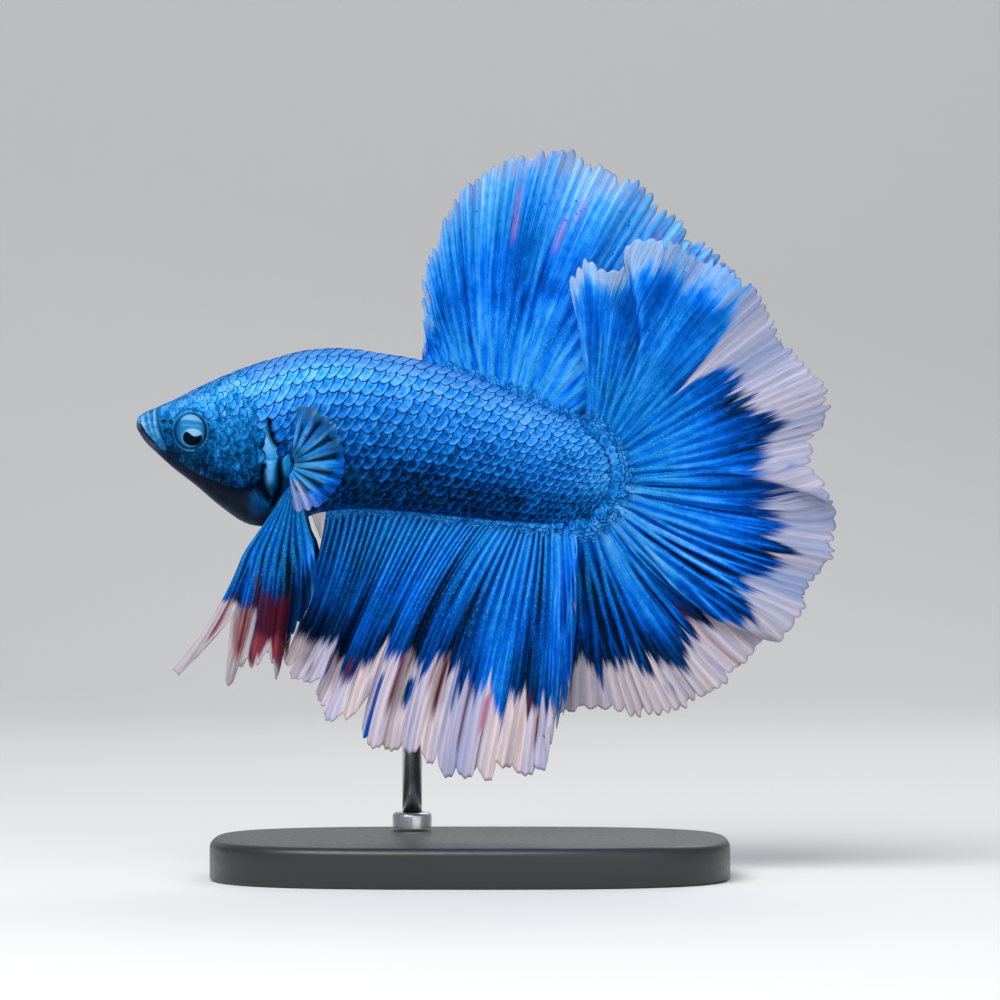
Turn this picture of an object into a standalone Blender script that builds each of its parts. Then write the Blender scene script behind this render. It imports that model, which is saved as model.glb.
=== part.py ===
"""Betta fish, life size, held on a plain display stand.

Metres, +Z up.  The fish looks along -X and its left side faces -Y.  The origin is the middle
of the underside of the stand's base.  All driving dimensions below are in millimetres.
"""
import math

import bmesh
import bpy
from mathutils import Vector

MM = 0.001

# ---- clearances and plate thicknesses -------------------------------------------------------
SEAM_GAP = 0.24
FIN_GAP = 0.22
FIN_THICK = 0.56
PAIRED_FIN_THICK = 0.50

# ---- body: one row per station: x, height of the back, height of the belly, half width --------
BODY_STATIONS = [
    (-33.32, 45.50, 45.30, 0.06),
    (-33.16, 46.12, 44.66, 0.62),
    (-32.60, 46.70, 43.55, 0.98),
    (-31.50, 47.20, 42.42, 1.42),
    (-29.80, 47.92, 40.88, 2.10),
    (-27.60, 49.02, 39.18, 2.72),
    (-25.00, 50.22, 36.98, 3.25),
    (-22.40, 51.22, 35.30, 3.66),
    (-19.80, 52.02, 35.12, 3.92),
    (-16.80, 52.80, 35.95, 4.08),
    (-13.00, 53.08, 36.78, 4.05),
    (-8.40, 52.50, 36.72, 3.82),
    (-3.60, 51.55, 36.28, 3.40),
    (1.20, 49.88, 35.74, 2.86),
    (5.60, 48.06, 35.32, 2.34),
    (9.40, 46.32, 35.18, 1.86),
    (12.00, 45.12, 35.62, 1.48),
    (13.50, 44.22, 36.42, 1.16),
    (14.50, 43.20, 37.58, 0.84),
    (15.10, 41.90, 38.90, 0.46),
    (15.28, 40.60, 40.20, 0.08),
]
SECTION_POWER_HEAD = 2.35
SECTION_POWER_TAIL = 2.05
WIDEST_AT = 0.52
TAIL_BEND = 0.9
BEND_FROM = -6.0

HEAD_END = -19.70
TRUNK_SPLIT = -3.90
TAIL_ROOT_FROM = 7.60

# ---- eye ------------------------------------------------------------------------------------
EYE_X = -28.00
EYE_Z = 44.45
EYE_Y = 1.62
EYE_RADIUS = 1.72
EYE_HALF_DEPTH = 1.16
SOCKET_CLEARANCE = 0.20

# ---- gill cover -----------------------------------------------------------------------------
GILL_X = -22.62
GILL_Z = 43.25
GILL_HALF_LENGTH = 2.86
GILL_HALF_HEIGHT = 4.55
GILL_PLATE = 0.55
GILL_PROUD = 0.10

# ---- unpaired fins: fan centre, sweep of the ray tips, reach per even step of the sweep --------
CAUDAL = {
    "centre": (13.5, 40.8),
    "sweep": (101.0, -98.0),
    "reach": [19.2, 21.0, 20.2, 22.2, 23.5, 23.6, 23.4, 23.5, 23.5, 23.4, 23.1, 22.6, 22.0,
              22.7, 23.3, 23.6, 22.5, 21.4, 20.4, 22.7, 22.8, 23.9, 24.4, 23.8, 23.8, 24.5,
              24.6, 23.4, 24.0, 24.4, 24.8, 25.1, 25.2, 25.1, 24.2, 24.4, 25.0],
    "lead": [90, 78, 62, 42, 20, 0, -20, -42, -60, -76, -89],
}
CAUDAL_ROOT = {"centre": (11.05, 40.4), "radii": (4.36, 5.00), "sweep": (77.0, -74.0)}
CAUDAL_ROOT_TURN = 0.90
CAUDAL_UNDER_TO = 9.85
DORSAL = {
    "centre": (4.0, 47.8),
    "sweep": (150.0, 4.0),
    "reach": [10.0, 10.3, 11.1, 12.2, 13.4, 15.0, 16.4, 17.2, 19.0, 20.5, 22.0, 22.9, 24.2,
              24.4, 25.2, 25.9, 25.3, 25.3, 25.3, 25.5, 24.5, 24.9, 25.0, 25.4, 25.6, 26.1,
              25.8, 24.6, 22.4, 19.8, 17.0],
    "lead": [138, 122, 110, 101, 92, 82, 70, 54, 38, 22, 6],
}
DORSAL_FROM = -4.3
DORSAL_TO = 10.9
ANAL = {
    "centre": (-2.0, 36.8),
    "sweep": (-139.5, -66.5),
    "reach": [21.8, 22.9, 22.9, 22.6, 22.9, 24.1, 23.8, 23.2, 24.6, 24.9, 24.8, 24.6, 25.3,
              26.3, 26.7, 26.8, 27.1, 26.6, 27.3, 27.4, 25.6],
    "lead": [-100, -104, -109, -114, -118, -120, -120, -116, -108, -98, -90],
}
ANAL_FROM = -14.4
ANAL_TO = 9.25
ANAL_TIP_EASE = 1.2

# ---- paired fins ----------------------------------------------------------------------------
PELVIC_ROOT = ((-21.9, 34.72), (-16.3, 35.15))
PELVIC_TIPS = [(-29.4, 20.6), (-28.6, 21.0), (-23.6, 26.0), (-24.1, 19.2), (-22.0, 21.2),
               (-19.4, 22.0), (-18.3, 23.3), (-16.6, 25.1), (-15.5, 28.0), (-15.7, 31.6)]
PELVIC_LEAD = [-120, -118, -104, -101, -98, -94, -88, -82, -74, -62]
PELVIC_Y = 1.55
PELVIC_SPLAY = 1.9
PECTORAL_HUB = (-17.75, 41.35)
PECTORAL_HUB_RADIUS = 0.85
PECTORAL_SWEEP = (84.0, -84.0)
PECTORAL_REACH = [6.0, 6.3, 6.1, 5.8, 5.5, 5.3, 5.0, 4.6, 4.3]
PECTORAL_LIFT = 0.34
PECTORAL_FLARE = 1.5

# ---- stand ----------------------------------------------------------------------------------
BASE_LENGTH = 52.0
BASE_DEPTH = 34.0
BASE_HEIGHT = 4.0
BASE_CHAMFER = 0.6
BASE_SHAPE = 3.0
ROD_RADIUS = 1.0
ROD_X = -6.0
ROD_FOOT_Y = 10.5
ROD_TOP_Z = 44.0
ROD_BEND = 4.0
PAD_RADIUS = 2.2
PAD_THICK = 0.7
COLLAR_RADIUS = 2.0
COLLAR_HEIGHT = 1.6


# ---- small helpers --------------------------------------------------------------------------
def clamp(v, low=0.0, high=1.0):
    return max(low, min(high, v))


def smooth(a, b, v):
    t = clamp((v - a) / (b - a))
    return t * t * (3.0 - 2.0 * t)


def bell(v, centre, width):
    return math.exp(-((v - centre) / width) ** 2)


def catmull(a, b, c, d, t):
    return 0.5 * ((2.0 * b) + (c - a) * t + (2.0 * a - 5.0 * b + 4.0 * c - d) * t * t
                  + (3.0 * b - a - 3.0 * c + d) * t ** 3)


def along(table, s, curved=True):
    """Value of an evenly spaced table at s = 0..1."""
    last = len(table) - 1
    f = clamp(s) * last
    i = min(int(f), last - 1)
    t = f - i
    if not curved:
        return table[i] * (1.0 - t) + table[i + 1] * t
    a = table[max(i - 1, 0)]
    d = table[min(i + 2, last)]
    return catmull(a, table[i], table[i + 1], d, t)


def station(u):
    """x, back, belly and half width at u, which counts stations."""
    return [along([row[k] for row in BODY_STATIONS], u / (len(BODY_STATIONS) - 1))
            for k in range(4)]


def station_at(x):
    low, high = 0.0, len(BODY_STATIONS) - 1.0
    for _ in range(48):
        mid = 0.5 * (low + high)
        if station(mid)[0] < x:
            low = mid
        else:
            high = mid
    return 0.5 * (low + high)


def body_bend(x):
    return -TAIL_BEND * (clamp((x - BEND_FROM) / (15.3 - BEND_FROM)) ** 2)


def section_power(x):
    return SECTION_POWER_HEAD + (SECTION_POWER_TAIL - SECTION_POWER_HEAD) * smooth(-10.0, 10.0, x)


def ring_point(u, angle):
    """Point of the body's skin; angle 0 is the ridge of the back, 90 degrees the left side."""
    x, top, low, half = station(u)
    power = 2.0 / section_power(x)
    middle = low + WIDEST_AT * (top - low)
    c, s = math.cos(angle), math.sin(angle)
    rise = (top - middle) if c > 0 else (middle - low)
    z = middle + rise * math.copysign(abs(c) ** power, c)
    y = -half * math.copysign(abs(s) ** power, s)
    return Vector((x, y + body_bend(x), z))


def side_y(x, z):
    """Half width of the body at a place seen from the side."""
    _, top, low, half = station(station_at(x))
    middle = low + WIDEST_AT * (top - low)
    rise = (top - middle) if z > middle else (middle - low)
    n = section_power(x)
    return half * (1.0 - clamp(abs(z - middle) / rise, 0.0, 0.995) ** n) ** (1.0 / n)


def side_point(x, z, side, out):
    """Point on one flank (side +1 is the left, -Y), moved outward by out."""
    step = 0.05
    y = side_y(x, z)
    slope_x = (side_y(x + step, z) - side_y(x - step, z)) / (2.0 * step)
    slope_z = (side_y(x, z + step) - side_y(x, z - step)) / (2.0 * step)
    normal = Vector((-slope_x, 1.0, -slope_z)).normalized()
    p = Vector((x, y, z)) + normal * out
    return Vector((p.x, -side * p.y + body_bend(x), p.z))


# ---- building -------------------------------------------------------------------------------
MATERIALS = {}


def material(name, colour, metallic=0.0, roughness=0.5):
    if name not in MATERIALS:
        mat = bpy.data.materials.new(name)
        mat.use_nodes = True
        node = mat.node_tree.nodes["Principled BSDF"]
        node.inputs["Base Color"].default_value = (*colour, 1.0)
        node.inputs["Metallic"].default_value = metallic
        node.inputs["Roughness"].default_value = roughness
        mat.diffuse_color = (*colour, 1.0)
        MATERIALS[name] = mat
    return MATERIALS[name]


def add(name, points, faces, mat, round_piece=True):
    mesh = bpy.data.meshes.new(name)
    mesh.from_pydata([tuple(c * MM for c in p) for p in points], [], faces)
    shell = bmesh.new()
    shell.from_mesh(mesh)
    bmesh.ops.triangulate(shell, faces=[f for f in shell.faces if len(f.verts) > 4])
    bmesh.ops.recalc_face_normals(shell, faces=shell.faces)
    if shell.calc_volume(signed=True) < 0.0:
        bmesh.ops.reverse_faces(shell, faces=shell.faces)
    shell.to_mesh(mesh)
    shell.free()
    for face in mesh.polygons:
        face.use_smooth = round_piece
    mesh.materials.append(mat)
    obj = bpy.data.objects.new(name, mesh)
    bpy.context.scene.collection.objects.link(obj)
    return obj


def cut(obj, cutter):
    cutter.hide_render = True
    cutter.display_type = 'WIRE'
    mod = obj.modifiers.new("cut_" + cutter.name, 'BOOLEAN')
    mod.operation = 'DIFFERENCE'
    mod.solver = 'EXACT'
    mod.object = cutter


def tube_faces(rings, around):
    faces = []
    for r in range(rings - 1):
        for k in range(around):
            j = (k + 1) % around
            faces.append((r * around + k, r * around + j, (r + 1) * around + j,
                          (r + 1) * around + k))
    return faces


def capped(points, rings, around):
    """Close a stack of rings with a middle point at either end."""
    faces = tube_faces(rings, around)
    first = sum((points[k] for k in range(around)), Vector()) / around
    base = (rings - 1) * around
    last = sum((points[base + k] for k in range(around)), Vector()) / around
    a = len(points)
    points.extend([first, last])
    for k in range(around):
        j = (k + 1) % around
        faces.append((a, j, k))
        faces.append((a + 1, base + k, base + j))
    return points, faces


def body_piece(name, x_from, x_to, rings, around, mat):
    u_from = 0.0 if x_from is None else station_at(x_from)
    u_to = len(BODY_STATIONS) - 1.0 if x_to is None else station_at(x_to)
    points = []
    for r in range(rings):
        u = u_from + (u_to - u_from) * r / (rings - 1)
        for k in range(around):
            points.append(ring_point(u, 2.0 * math.pi * k / around))
    points, faces = capped(points, rings, around)
    return add(name, points, faces, mat)


def plate(name, place, thick, columns, rows, mat):
    """Thin plate from place(s, t); its two faces lie either side of the surface in Y."""
    points = []
    for side in (-0.5, 0.5):
        for i in range(columns + 1):
            for j in range(rows + 1):
                p = place(i / columns, j / rows)
                points.append(p + Vector((0.0, side * thick, 0.0)))
    width = rows + 1
    back = (columns + 1) * width
    faces = []
    for i in range(columns):
        for j in range(rows):
            a = i * width + j
            faces.append((a, a + 1, a + width + 1, a + width))
            faces.append((back + a, back + a + width, back + a + width + 1, back + a + 1))
    for i in range(columns):
        for j in (0, rows):
            a = i * width + j
            faces.append((a, a + width, back + a + width, back + a))
    for j in range(rows):
        for i in (0, columns):
            a = i * width + j
            faces.append((a, a + 1, back + a + 1, back + a))
    return add(name, points, faces, mat)


def ellipsoid(name, centre, radii, around, rings, mat):
    points = []
    for r in range(1, rings):
        polar = math.pi * r / rings
        for k in range(around):
            turn = 2.0 * math.pi * k / around
            points.append(Vector((centre[0] + radii[0] * math.sin(polar) * math.cos(turn),
                                  centre[1] - radii[1] * math.cos(polar),
                                  centre[2] + radii[2] * math.sin(polar) * math.sin(turn))))
    faces = tube_faces(rings - 1, around)
    a = len(points)
    points.append(Vector((centre[0], centre[1] - radii[1], centre[2])))
    points.append(Vector((centre[0], centre[1] + radii[1], centre[2])))
    base = (rings - 2) * around
    for k in range(around):
        j = (k + 1) % around
        faces.append((a, j, k))
        faces.append((a + 1, base + k, base + j))
    return add(name, points, faces, mat)


def gill_patch(name, side, grow, inner, outer, mat):
    """Rounded plate lying on the flank; grow widens it for the recess cut into the head."""
    around, rings = 18, 3
    points = []
    for out in (outer, inner):
        for r in range(1, rings + 1):
            for k in range(around):
                a = 2.0 * math.pi * k / around
                c, s = math.cos(a), math.sin(a)
                reach = r / rings
                x = GILL_X + (GILL_HALF_LENGTH + grow) * reach * math.copysign(abs(c) ** 0.85, c)
                z = GILL_Z + (GILL_HALF_HEIGHT + grow) * reach * math.copysign(abs(s) ** 0.85, s)
                points.append(side_point(x, z, side, out))
    layer = around * rings
    top = len(points)
    points.append(side_point(GILL_X, GILL_Z, side, outer))
    points.append(side_point(GILL_X, GILL_Z, side, inner))
    faces = tube_faces(rings, around)
    faces += [tuple(layer + i for i in f) for f in tube_faces(rings, around)]
    rim = (rings - 1) * around
    for k in range(around):
        j = (k + 1) % around
        faces.append((top, j, k))
        faces.append((top + 1, layer + k, layer + j))
        faces.append((rim + k, rim + j, layer + rim + j, layer + rim + k))
    return add(name, points, faces, mat)


# ---- fins -----------------------------------------------------------------------------------
def polar(centre, angle, reach):
    a = math.radians(angle)
    return centre[0] + reach * math.cos(a), centre[1] + reach * math.sin(a)


def ray_point(root, tip, lead, t):
    """A fin ray leaves its root along lead (degrees) and bends over to its tip."""
    length = math.hypot(tip[0] - root[0], tip[1] - root[1])
    bend = polar(root, lead, 0.5 * length)
    a, b, c = (1.0 - t) ** 2, 2.0 * t * (1.0 - t), t * t
    return (a * root[0] + b * bend[0] + c * tip[0], a * root[1] + b * bend[1] + c * tip[1])


def fan_tip(fan, s, ease=1.0):
    angle = fan["sweep"][0] + (fan["sweep"][1] - fan["sweep"][0]) * s ** ease
    return polar(fan["centre"], angle, along(fan["reach"], s ** ease))


def caudal_root(s):
    """The root follows the rounded end of the body, then runs forward under it."""
    first, last = CAUDAL_ROOT["sweep"]
    a = math.radians(first + (last - first) * min(s / CAUDAL_ROOT_TURN, 1.0))
    x = CAUDAL_ROOT["centre"][0] + CAUDAL_ROOT["radii"][0] * math.cos(a)
    z = CAUDAL_ROOT["centre"][1] + CAUDAL_ROOT["radii"][1] * math.sin(a)
    under = clamp((s - CAUDAL_ROOT_TURN) / (1.0 - CAUDAL_ROOT_TURN))
    if under > 0.0:
        x += (CAUDAL_UNDER_TO - x) * under
        z = min(z, station(station_at(x))[2] - FIN_GAP)
    return x, z


def caudal_place(s, t):
    x, z = ray_point(caudal_root(s), fan_tip(CAUDAL, s), along(CAUDAL["lead"], s), t)
    lean = -3.0 * (1.0 - smooth(0.0, 0.55, s)) + 2.0 * smooth(0.62, 1.0, s)
    fold = -1.9 * bell(s, 0.50, 0.045) + 1.3 * bell(s, 0.575, 0.035) - 1.5 * bell(s, 0.695, 0.04)
    fold += -1.2 * bell(s, 0.12, 0.04) + 1.1 * bell(s, 0.205, 0.04)
    wave = 0.42 * math.sin(2.0 * math.pi * 7.0 * s)
    depth = -TAIL_BEND + lean * t ** 1.1 + (fold + wave) * t * t
    return Vector((x, depth, z))


def dorsal_place(s, t):
    x_root = DORSAL_FROM + (DORSAL_TO - DORSAL_FROM) * s
    root = (x_root, station(station_at(x_root))[1] + FIN_GAP)
    x, z = ray_point(root, fan_tip(DORSAL, s), along(DORSAL["lead"], s), t)
    lean = 0.5 + 2.1 * smooth(0.3, 1.0, s)
    wave = 0.45 * math.sin(2.0 * math.pi * 6.0 * s + 0.6)
    depth = body_bend(x_root) + 0.25 * smooth(0.8, 1.0, s) + lean * t + wave * t * t
    return Vector((x, depth, z))


def anal_place(s, t):
    x_root = ANAL_FROM + (ANAL_TO - ANAL_FROM) * s
    root = (x_root, station(station_at(x_root))[2] - FIN_GAP)
    x, z = ray_point(root, fan_tip(ANAL, s, ANAL_TIP_EASE), along(ANAL["lead"], s), t)
    lean = -0.4 - 2.2 * smooth(0.55, 1.0, s)
    wave = 0.5 * math.sin(2.0 * math.pi * 7.0 * s)
    depth = body_bend(x_root) + lean * t + wave * t * t
    return Vector((x, depth, z))


def pelvic_place(side):
    def place(s, t):
        root = tuple(a + (b - a) * s for a, b in zip(*PELVIC_ROOT))
        tip = (along([p[0] for p in PELVIC_TIPS], s, False),
               along([p[1] for p in PELVIC_TIPS], s, False))
        x, z = ray_point(root, tip, along(PELVIC_LEAD, s), t)
        wave = 0.3 * math.sin(2.0 * math.pi * 2.5 * s) * t
        depth = PELVIC_Y + PELVIC_SPLAY * t * (1.0 - 0.35 * s) + wave
        shift = 0.0 if side > 0 else 1.3 * t
        return Vector((x + shift, -side * depth, z))
    return place


def pectoral_place(side):
    def place(s, t):
        angle = PECTORAL_SWEEP[0] + (PECTORAL_SWEEP[1] - PECTORAL_SWEEP[0]) * s
        reach = PECTORAL_HUB_RADIUS + (along(PECTORAL_REACH, s) - PECTORAL_HUB_RADIUS) * t
        x, z = polar(PECTORAL_HUB, angle, reach)
        hub_y = side_y(PECTORAL_HUB[0], PECTORAL_HUB[1]) + PECTORAL_LIFT + 0.5 * PAIRED_FIN_THICK
        depth = hub_y + PECTORAL_FLARE * t * t
        return Vector((x, -side * depth, z))
    return place


# ---- stand ----------------------------------------------------------------------------------
def stand_base(mat):
    around = 32
    rings = [(0.0, -BASE_CHAMFER * 0.5), (BASE_CHAMFER * 0.5, 0.0),
             (BASE_HEIGHT - BASE_CHAMFER, 0.0), (BASE_HEIGHT, -BASE_CHAMFER)]
    points = []
    for z, grow in rings:
        for k in range(around):
            a = 2.0 * math.pi * k / around
            c, s = math.cos(a), math.sin(a)
            points.append(Vector((
                (0.5 * BASE_LENGTH + grow) * math.copysign(abs(c) ** (2.0 / BASE_SHAPE), c),
                (0.5 * BASE_DEPTH + grow) * math.copysign(abs(s) ** (2.0 / BASE_SHAPE), s), z)))
    points, faces = capped(points, len(rings), around)
    return add("stand_base", points, faces, mat, round_piece=False)


def rod_path(reach_y):
    points = [Vector((ROD_X, ROD_FOOT_Y, BASE_HEIGHT + SEAM_GAP)),
              Vector((ROD_X, ROD_FOOT_Y, 0.5 * (BASE_HEIGHT + ROD_TOP_Z)))]
    steps = 6
    for k in range(steps + 1):
        a = 0.5 * math.pi * k / steps
        points.append(Vector((ROD_X, ROD_FOOT_Y - ROD_BEND * (1.0 - math.cos(a)),
                              ROD_TOP_Z - ROD_BEND * (1.0 - math.sin(a)))))
    points.append(Vector((ROD_X, reach_y, ROD_TOP_Z)))
    return points


def rod(name, path, radius, around, mat):
    points = []
    for i, p in enumerate(path):
        ahead = path[min(i + 1, len(path) - 1)] - path[max(i - 1, 0)]
        ahead.normalize()
        across = Vector((1.0, 0.0, 0.0))
        up = ahead.cross(across)
        for k in range(around):
            a = 2.0 * math.pi * k / around
            points.append(p + radius * (math.cos(a) * across + math.sin(a) * up))
    points, faces = capped(points, len(path), around)
    return add(name, points, faces, mat)


def ring_piece(name, centre, inner, outer, height, around, mat):
    points = []
    for radius, z in ((inner, 0.0), (outer, 0.0), (outer, height - 0.3), (outer - 0.3, height),
                      (inner, height)):
        for k in range(around):
            a = 2.0 * math.pi * k / around
            points.append(Vector((centre[0] + radius * math.cos(a),
                                  centre[1] + radius * math.sin(a), centre[2] + z)))
    faces = tube_faces(5, around)
    for k in range(around):
        j = (k + 1) % around
        faces.append((4 * around + k, 4 * around + j, j, k))
    return add(name, points, faces, mat, round_piece=False)


def pad(name, x, z, side, mat):
    """Small round pad following the flank; its outer face is flat for the rod's end."""
    around, rings = 14, 2
    gap = SEAM_GAP
    outer_y = -side * (side_y(x, z) + gap + PAD_THICK) + body_bend(x)
    points = []
    for layer in (0, 1):
        for r in range(1, rings + 1):
            for k in range(around):
                a = 2.0 * math.pi * k / around
                px = x + PAD_RADIUS * r / rings * math.cos(a)
                pz = z + PAD_RADIUS * r / rings * math.sin(a)
                p = side_point(px, pz, side, gap)
                points.append(p if layer == 0 else Vector((px, outer_y, pz)))
    count = around * rings
    points.append(side_point(x, z, side, gap))
    points.append(Vector((x, outer_y, z)))
    faces = tube_faces(rings, around)
    faces += [tuple(count + i for i in f) for f in tube_faces(rings, around)]
    rim = (rings - 1) * around
    for k in range(around):
        j = (k + 1) % around
        faces.append((2 * count, j, k))
        faces.append((2 * count + 1, count + k, count + j))
        faces.append((rim + k, rim + j, count + rim + j, count + rim + k))
    add(name, points, faces, mat)
    return outer_y


# ---- assembly -------------------------------------------------------------------------------
def build():
    for obj in list(bpy.data.objects):
        bpy.data.objects.remove(obj, do_unlink=True)

    blue = (0.03, 0.20, 0.55)
    for_fin = (0.02, 0.15, 0.60)
    head = body_piece("head", None, HEAD_END, 19, 24, material("head_skin", blue, 0.2, 0.4))
    body_piece("trunk_front", HEAD_END + SEAM_GAP, TRUNK_SPLIT, 8, 24,
               material("trunk_front_skin", blue, 0.2, 0.4))
    body_piece("trunk_rear", TRUNK_SPLIT + SEAM_GAP, TAIL_ROOT_FROM, 6, 24,
               material("trunk_rear_skin", blue, 0.2, 0.4))
    body_piece("tail_root", TAIL_ROOT_FROM + SEAM_GAP, None, 10, 20,
               material("tail_root_skin", blue, 0.2, 0.4))

    for side, word in ((1, "left"), (-1, "right")):
        centre = (EYE_X, -side * EYE_Y, EYE_Z)
        ellipsoid("eye_" + word, centre, (EYE_RADIUS, EYE_HALF_DEPTH, EYE_RADIUS), 16, 7,
                  material("eye_" + word + "_wet", (0.02, 0.05, 0.10), 0.0, 0.1))
        socket = ellipsoid("cutter_socket_" + word, centre,
                           (EYE_RADIUS + SOCKET_CLEARANCE, EYE_HALF_DEPTH + SOCKET_CLEARANCE,
                            EYE_RADIUS + SOCKET_CLEARANCE), 16, 7,
                           material("cutter", (0.5, 0.5, 0.5)))
        cut(head, socket)
        gill_patch("gill_cover_" + word, side, 0.0, GILL_PROUD - GILL_PLATE, GILL_PROUD,
                   material("gill_cover_" + word + "_skin", blue, 0.3, 0.35))
        recess = gill_patch("cutter_gill_" + word, side, SEAM_GAP,
                            GILL_PROUD - GILL_PLATE - SEAM_GAP, 1.6,
                            material("cutter", (0.5, 0.5, 0.5)))
        cut(head, recess)
        plate("pelvic_fin_" + word, pelvic_place(side), PAIRED_FIN_THICK, 18, 4,
              material("pelvic_fin_" + word + "_membrane", (0.35, 0.10, 0.15), 0.0, 0.4))
        plate("pectoral_fin_" + word, pectoral_place(side), PAIRED_FIN_THICK, 14, 3,
              material("pectoral_fin_" + word + "_membrane", (0.05, 0.22, 0.42), 0.0, 0.4))

    plate("dorsal_fin", dorsal_place, FIN_THICK, 56, 4,
          material("dorsal_fin_membrane", for_fin, 0.0, 0.4))
    plate("anal_fin", anal_place, FIN_THICK, 52, 4,
          material("anal_fin_membrane", for_fin, 0.0, 0.4))
    plate("caudal_fin", caudal_place, FIN_THICK, 84, 4,
          material("caudal_fin_membrane", for_fin, 0.0, 0.4))

    steel = (0.55, 0.56, 0.58)
    stand_base(material("stand_base_paint", (0.62, 0.60, 0.56), 0.0, 0.45))
    outer_y = pad("stand_pad", ROD_X, ROD_TOP_Z, -1, material("stand_pad_rubber", (0.5, 0.5, 0.5)))
    rod("stand_rod", rod_path(outer_y + SEAM_GAP), ROD_RADIUS, 10,
        material("stand_rod_steel", steel, 1.0, 0.3))
    ring_piece("stand_collar", (ROD_X, ROD_FOOT_Y, BASE_HEIGHT + SEAM_GAP),
               ROD_RADIUS + SEAM_GAP, COLLAR_RADIUS, COLLAR_HEIGHT, 16,
               material("stand_collar_steel", steel, 1.0, 0.3))


build()
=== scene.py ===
"""Betta fish on its display stand: skin, scales, eyes, rayed fins, materials, light and camera.

Lengths are in millimetres until a mesh is made.  The fish looks along -X, its left side faces -Y.
"""
import math

import bpy
import numpy as np
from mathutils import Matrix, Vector


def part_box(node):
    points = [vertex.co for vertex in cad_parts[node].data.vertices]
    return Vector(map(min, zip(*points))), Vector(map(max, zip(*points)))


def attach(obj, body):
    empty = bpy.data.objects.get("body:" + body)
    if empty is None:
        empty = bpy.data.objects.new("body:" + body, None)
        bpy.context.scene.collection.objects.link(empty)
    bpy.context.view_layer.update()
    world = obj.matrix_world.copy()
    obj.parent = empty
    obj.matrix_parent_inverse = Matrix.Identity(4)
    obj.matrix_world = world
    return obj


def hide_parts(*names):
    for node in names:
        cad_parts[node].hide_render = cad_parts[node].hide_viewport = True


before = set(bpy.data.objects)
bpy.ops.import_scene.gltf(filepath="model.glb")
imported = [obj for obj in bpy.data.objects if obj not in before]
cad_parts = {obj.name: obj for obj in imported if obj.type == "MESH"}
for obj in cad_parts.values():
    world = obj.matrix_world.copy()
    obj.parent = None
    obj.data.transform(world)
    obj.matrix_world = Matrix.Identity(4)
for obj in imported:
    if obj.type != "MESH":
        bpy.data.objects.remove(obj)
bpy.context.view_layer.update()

MM = 0.001
TURN = 2 * math.pi

# ---- body form: x, height of back, height of belly, half width (the same stations as the solids)
BODY_STATIONS = np.array([
    (-33.44, 45.62, 45.16, 0.10), (-33.26, 46.20, 44.56, 0.72), (-32.60, 46.74, 43.50, 1.04),
    (-31.50, 47.20, 42.42, 1.42), (-29.80, 47.92, 40.88, 2.10), (-27.60, 49.02, 39.18, 2.72),
    (-25.00, 50.22, 36.98, 3.25), (-22.40, 51.22, 35.30, 3.66), (-19.80, 52.02, 35.12, 3.92),
    (-16.80, 52.80, 35.95, 4.08), (-13.00, 53.08, 36.78, 4.05), (-8.40, 52.50, 36.72, 3.82),
    (-3.60, 51.55, 36.28, 3.40), (1.20, 49.88, 35.74, 2.86), (5.60, 48.06, 35.32, 2.34),
    (9.40, 46.32, 35.18, 1.86), (12.00, 45.12, 35.62, 1.48), (13.50, 44.22, 36.42, 1.16),
    (14.50, 43.20, 37.58, 0.84), (15.10, 41.90, 38.90, 0.46), (15.28, 40.60, 40.20, 0.08)])
POWER_HEAD, POWER_TAIL = 2.35, 2.05
WIDEST_AT = 0.52
TAIL_BEND, BEND_FROM, BEND_TO = 0.9, -6.0, 15.3
SCALE_DEPTH = 0.13
HEAD_END, SHOULDER = -18.6, -17.0
EYE_X, EYE_Z = -27.92, 44.68
HUB_X, HUB_Z = -18.12, 41.15
SIDES = ((1, "left"), (-1, "right"))


def smooth(a, b, v):
    t = np.clip((np.asarray(v, float) - a) / (b - a), 0.0, 1.0)
    return t * t * (3.0 - 2.0 * t)


def span(a, b, c, d, v):
    """Rises from a to b and falls from c to d."""
    return smooth(a, b, v) * smooth(d, c, v)


def bell(v, centre, width):
    return np.exp(-((v - centre) / width) ** 2)


def spot(x, z, cx, cz, rx, rz, lean=0.0):
    """Oval patch, flat in the middle."""
    return np.exp(-(((x - cx - lean * (z - cz)) / rx) ** 2 + ((z - cz) / rz) ** 2) ** 1.5)


def lerp(a, b, t):
    return a + (b - a) * t


def most(*masks):
    return np.maximum.reduce(np.broadcast_arrays(*masks))


def steps(v, pairs):
    """Straight lines through (place, value) pairs."""
    return np.interp(v, *zip(*pairs))


def unit(v):
    return v / np.maximum(np.linalg.norm(v, axis=-1, keepdims=True), 1e-9)


def run_length(points):
    """Distance along each row of points."""
    step = np.linalg.norm(np.diff(points, axis=-2), axis=-1)
    return np.concatenate([np.zeros((*step.shape[:-1], 1)), np.cumsum(step, axis=-1)], axis=-1)


def curve(table, s):
    """Catmull-Rom through evenly spaced values (rows), read at s = 0..1."""
    table = np.asarray(table, float)
    last = len(table) - 1
    f = np.clip(np.asarray(s, float), 0.0, 1.0) * last
    i = np.minimum(f.astype(int), last - 1)
    t = (f - i)[..., None] if table.ndim > 1 else f - i
    a, b, c, d = (table[k] for k in (np.maximum(i - 1, 0), i, i + 1, np.minimum(i + 2, last)))
    return 0.5 * (2 * b + (c - a) * t + (2 * a - 5 * b + 4 * c - d) * t ** 2
                  + (3 * b - a - 3 * c + d) * t ** 3)


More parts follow.
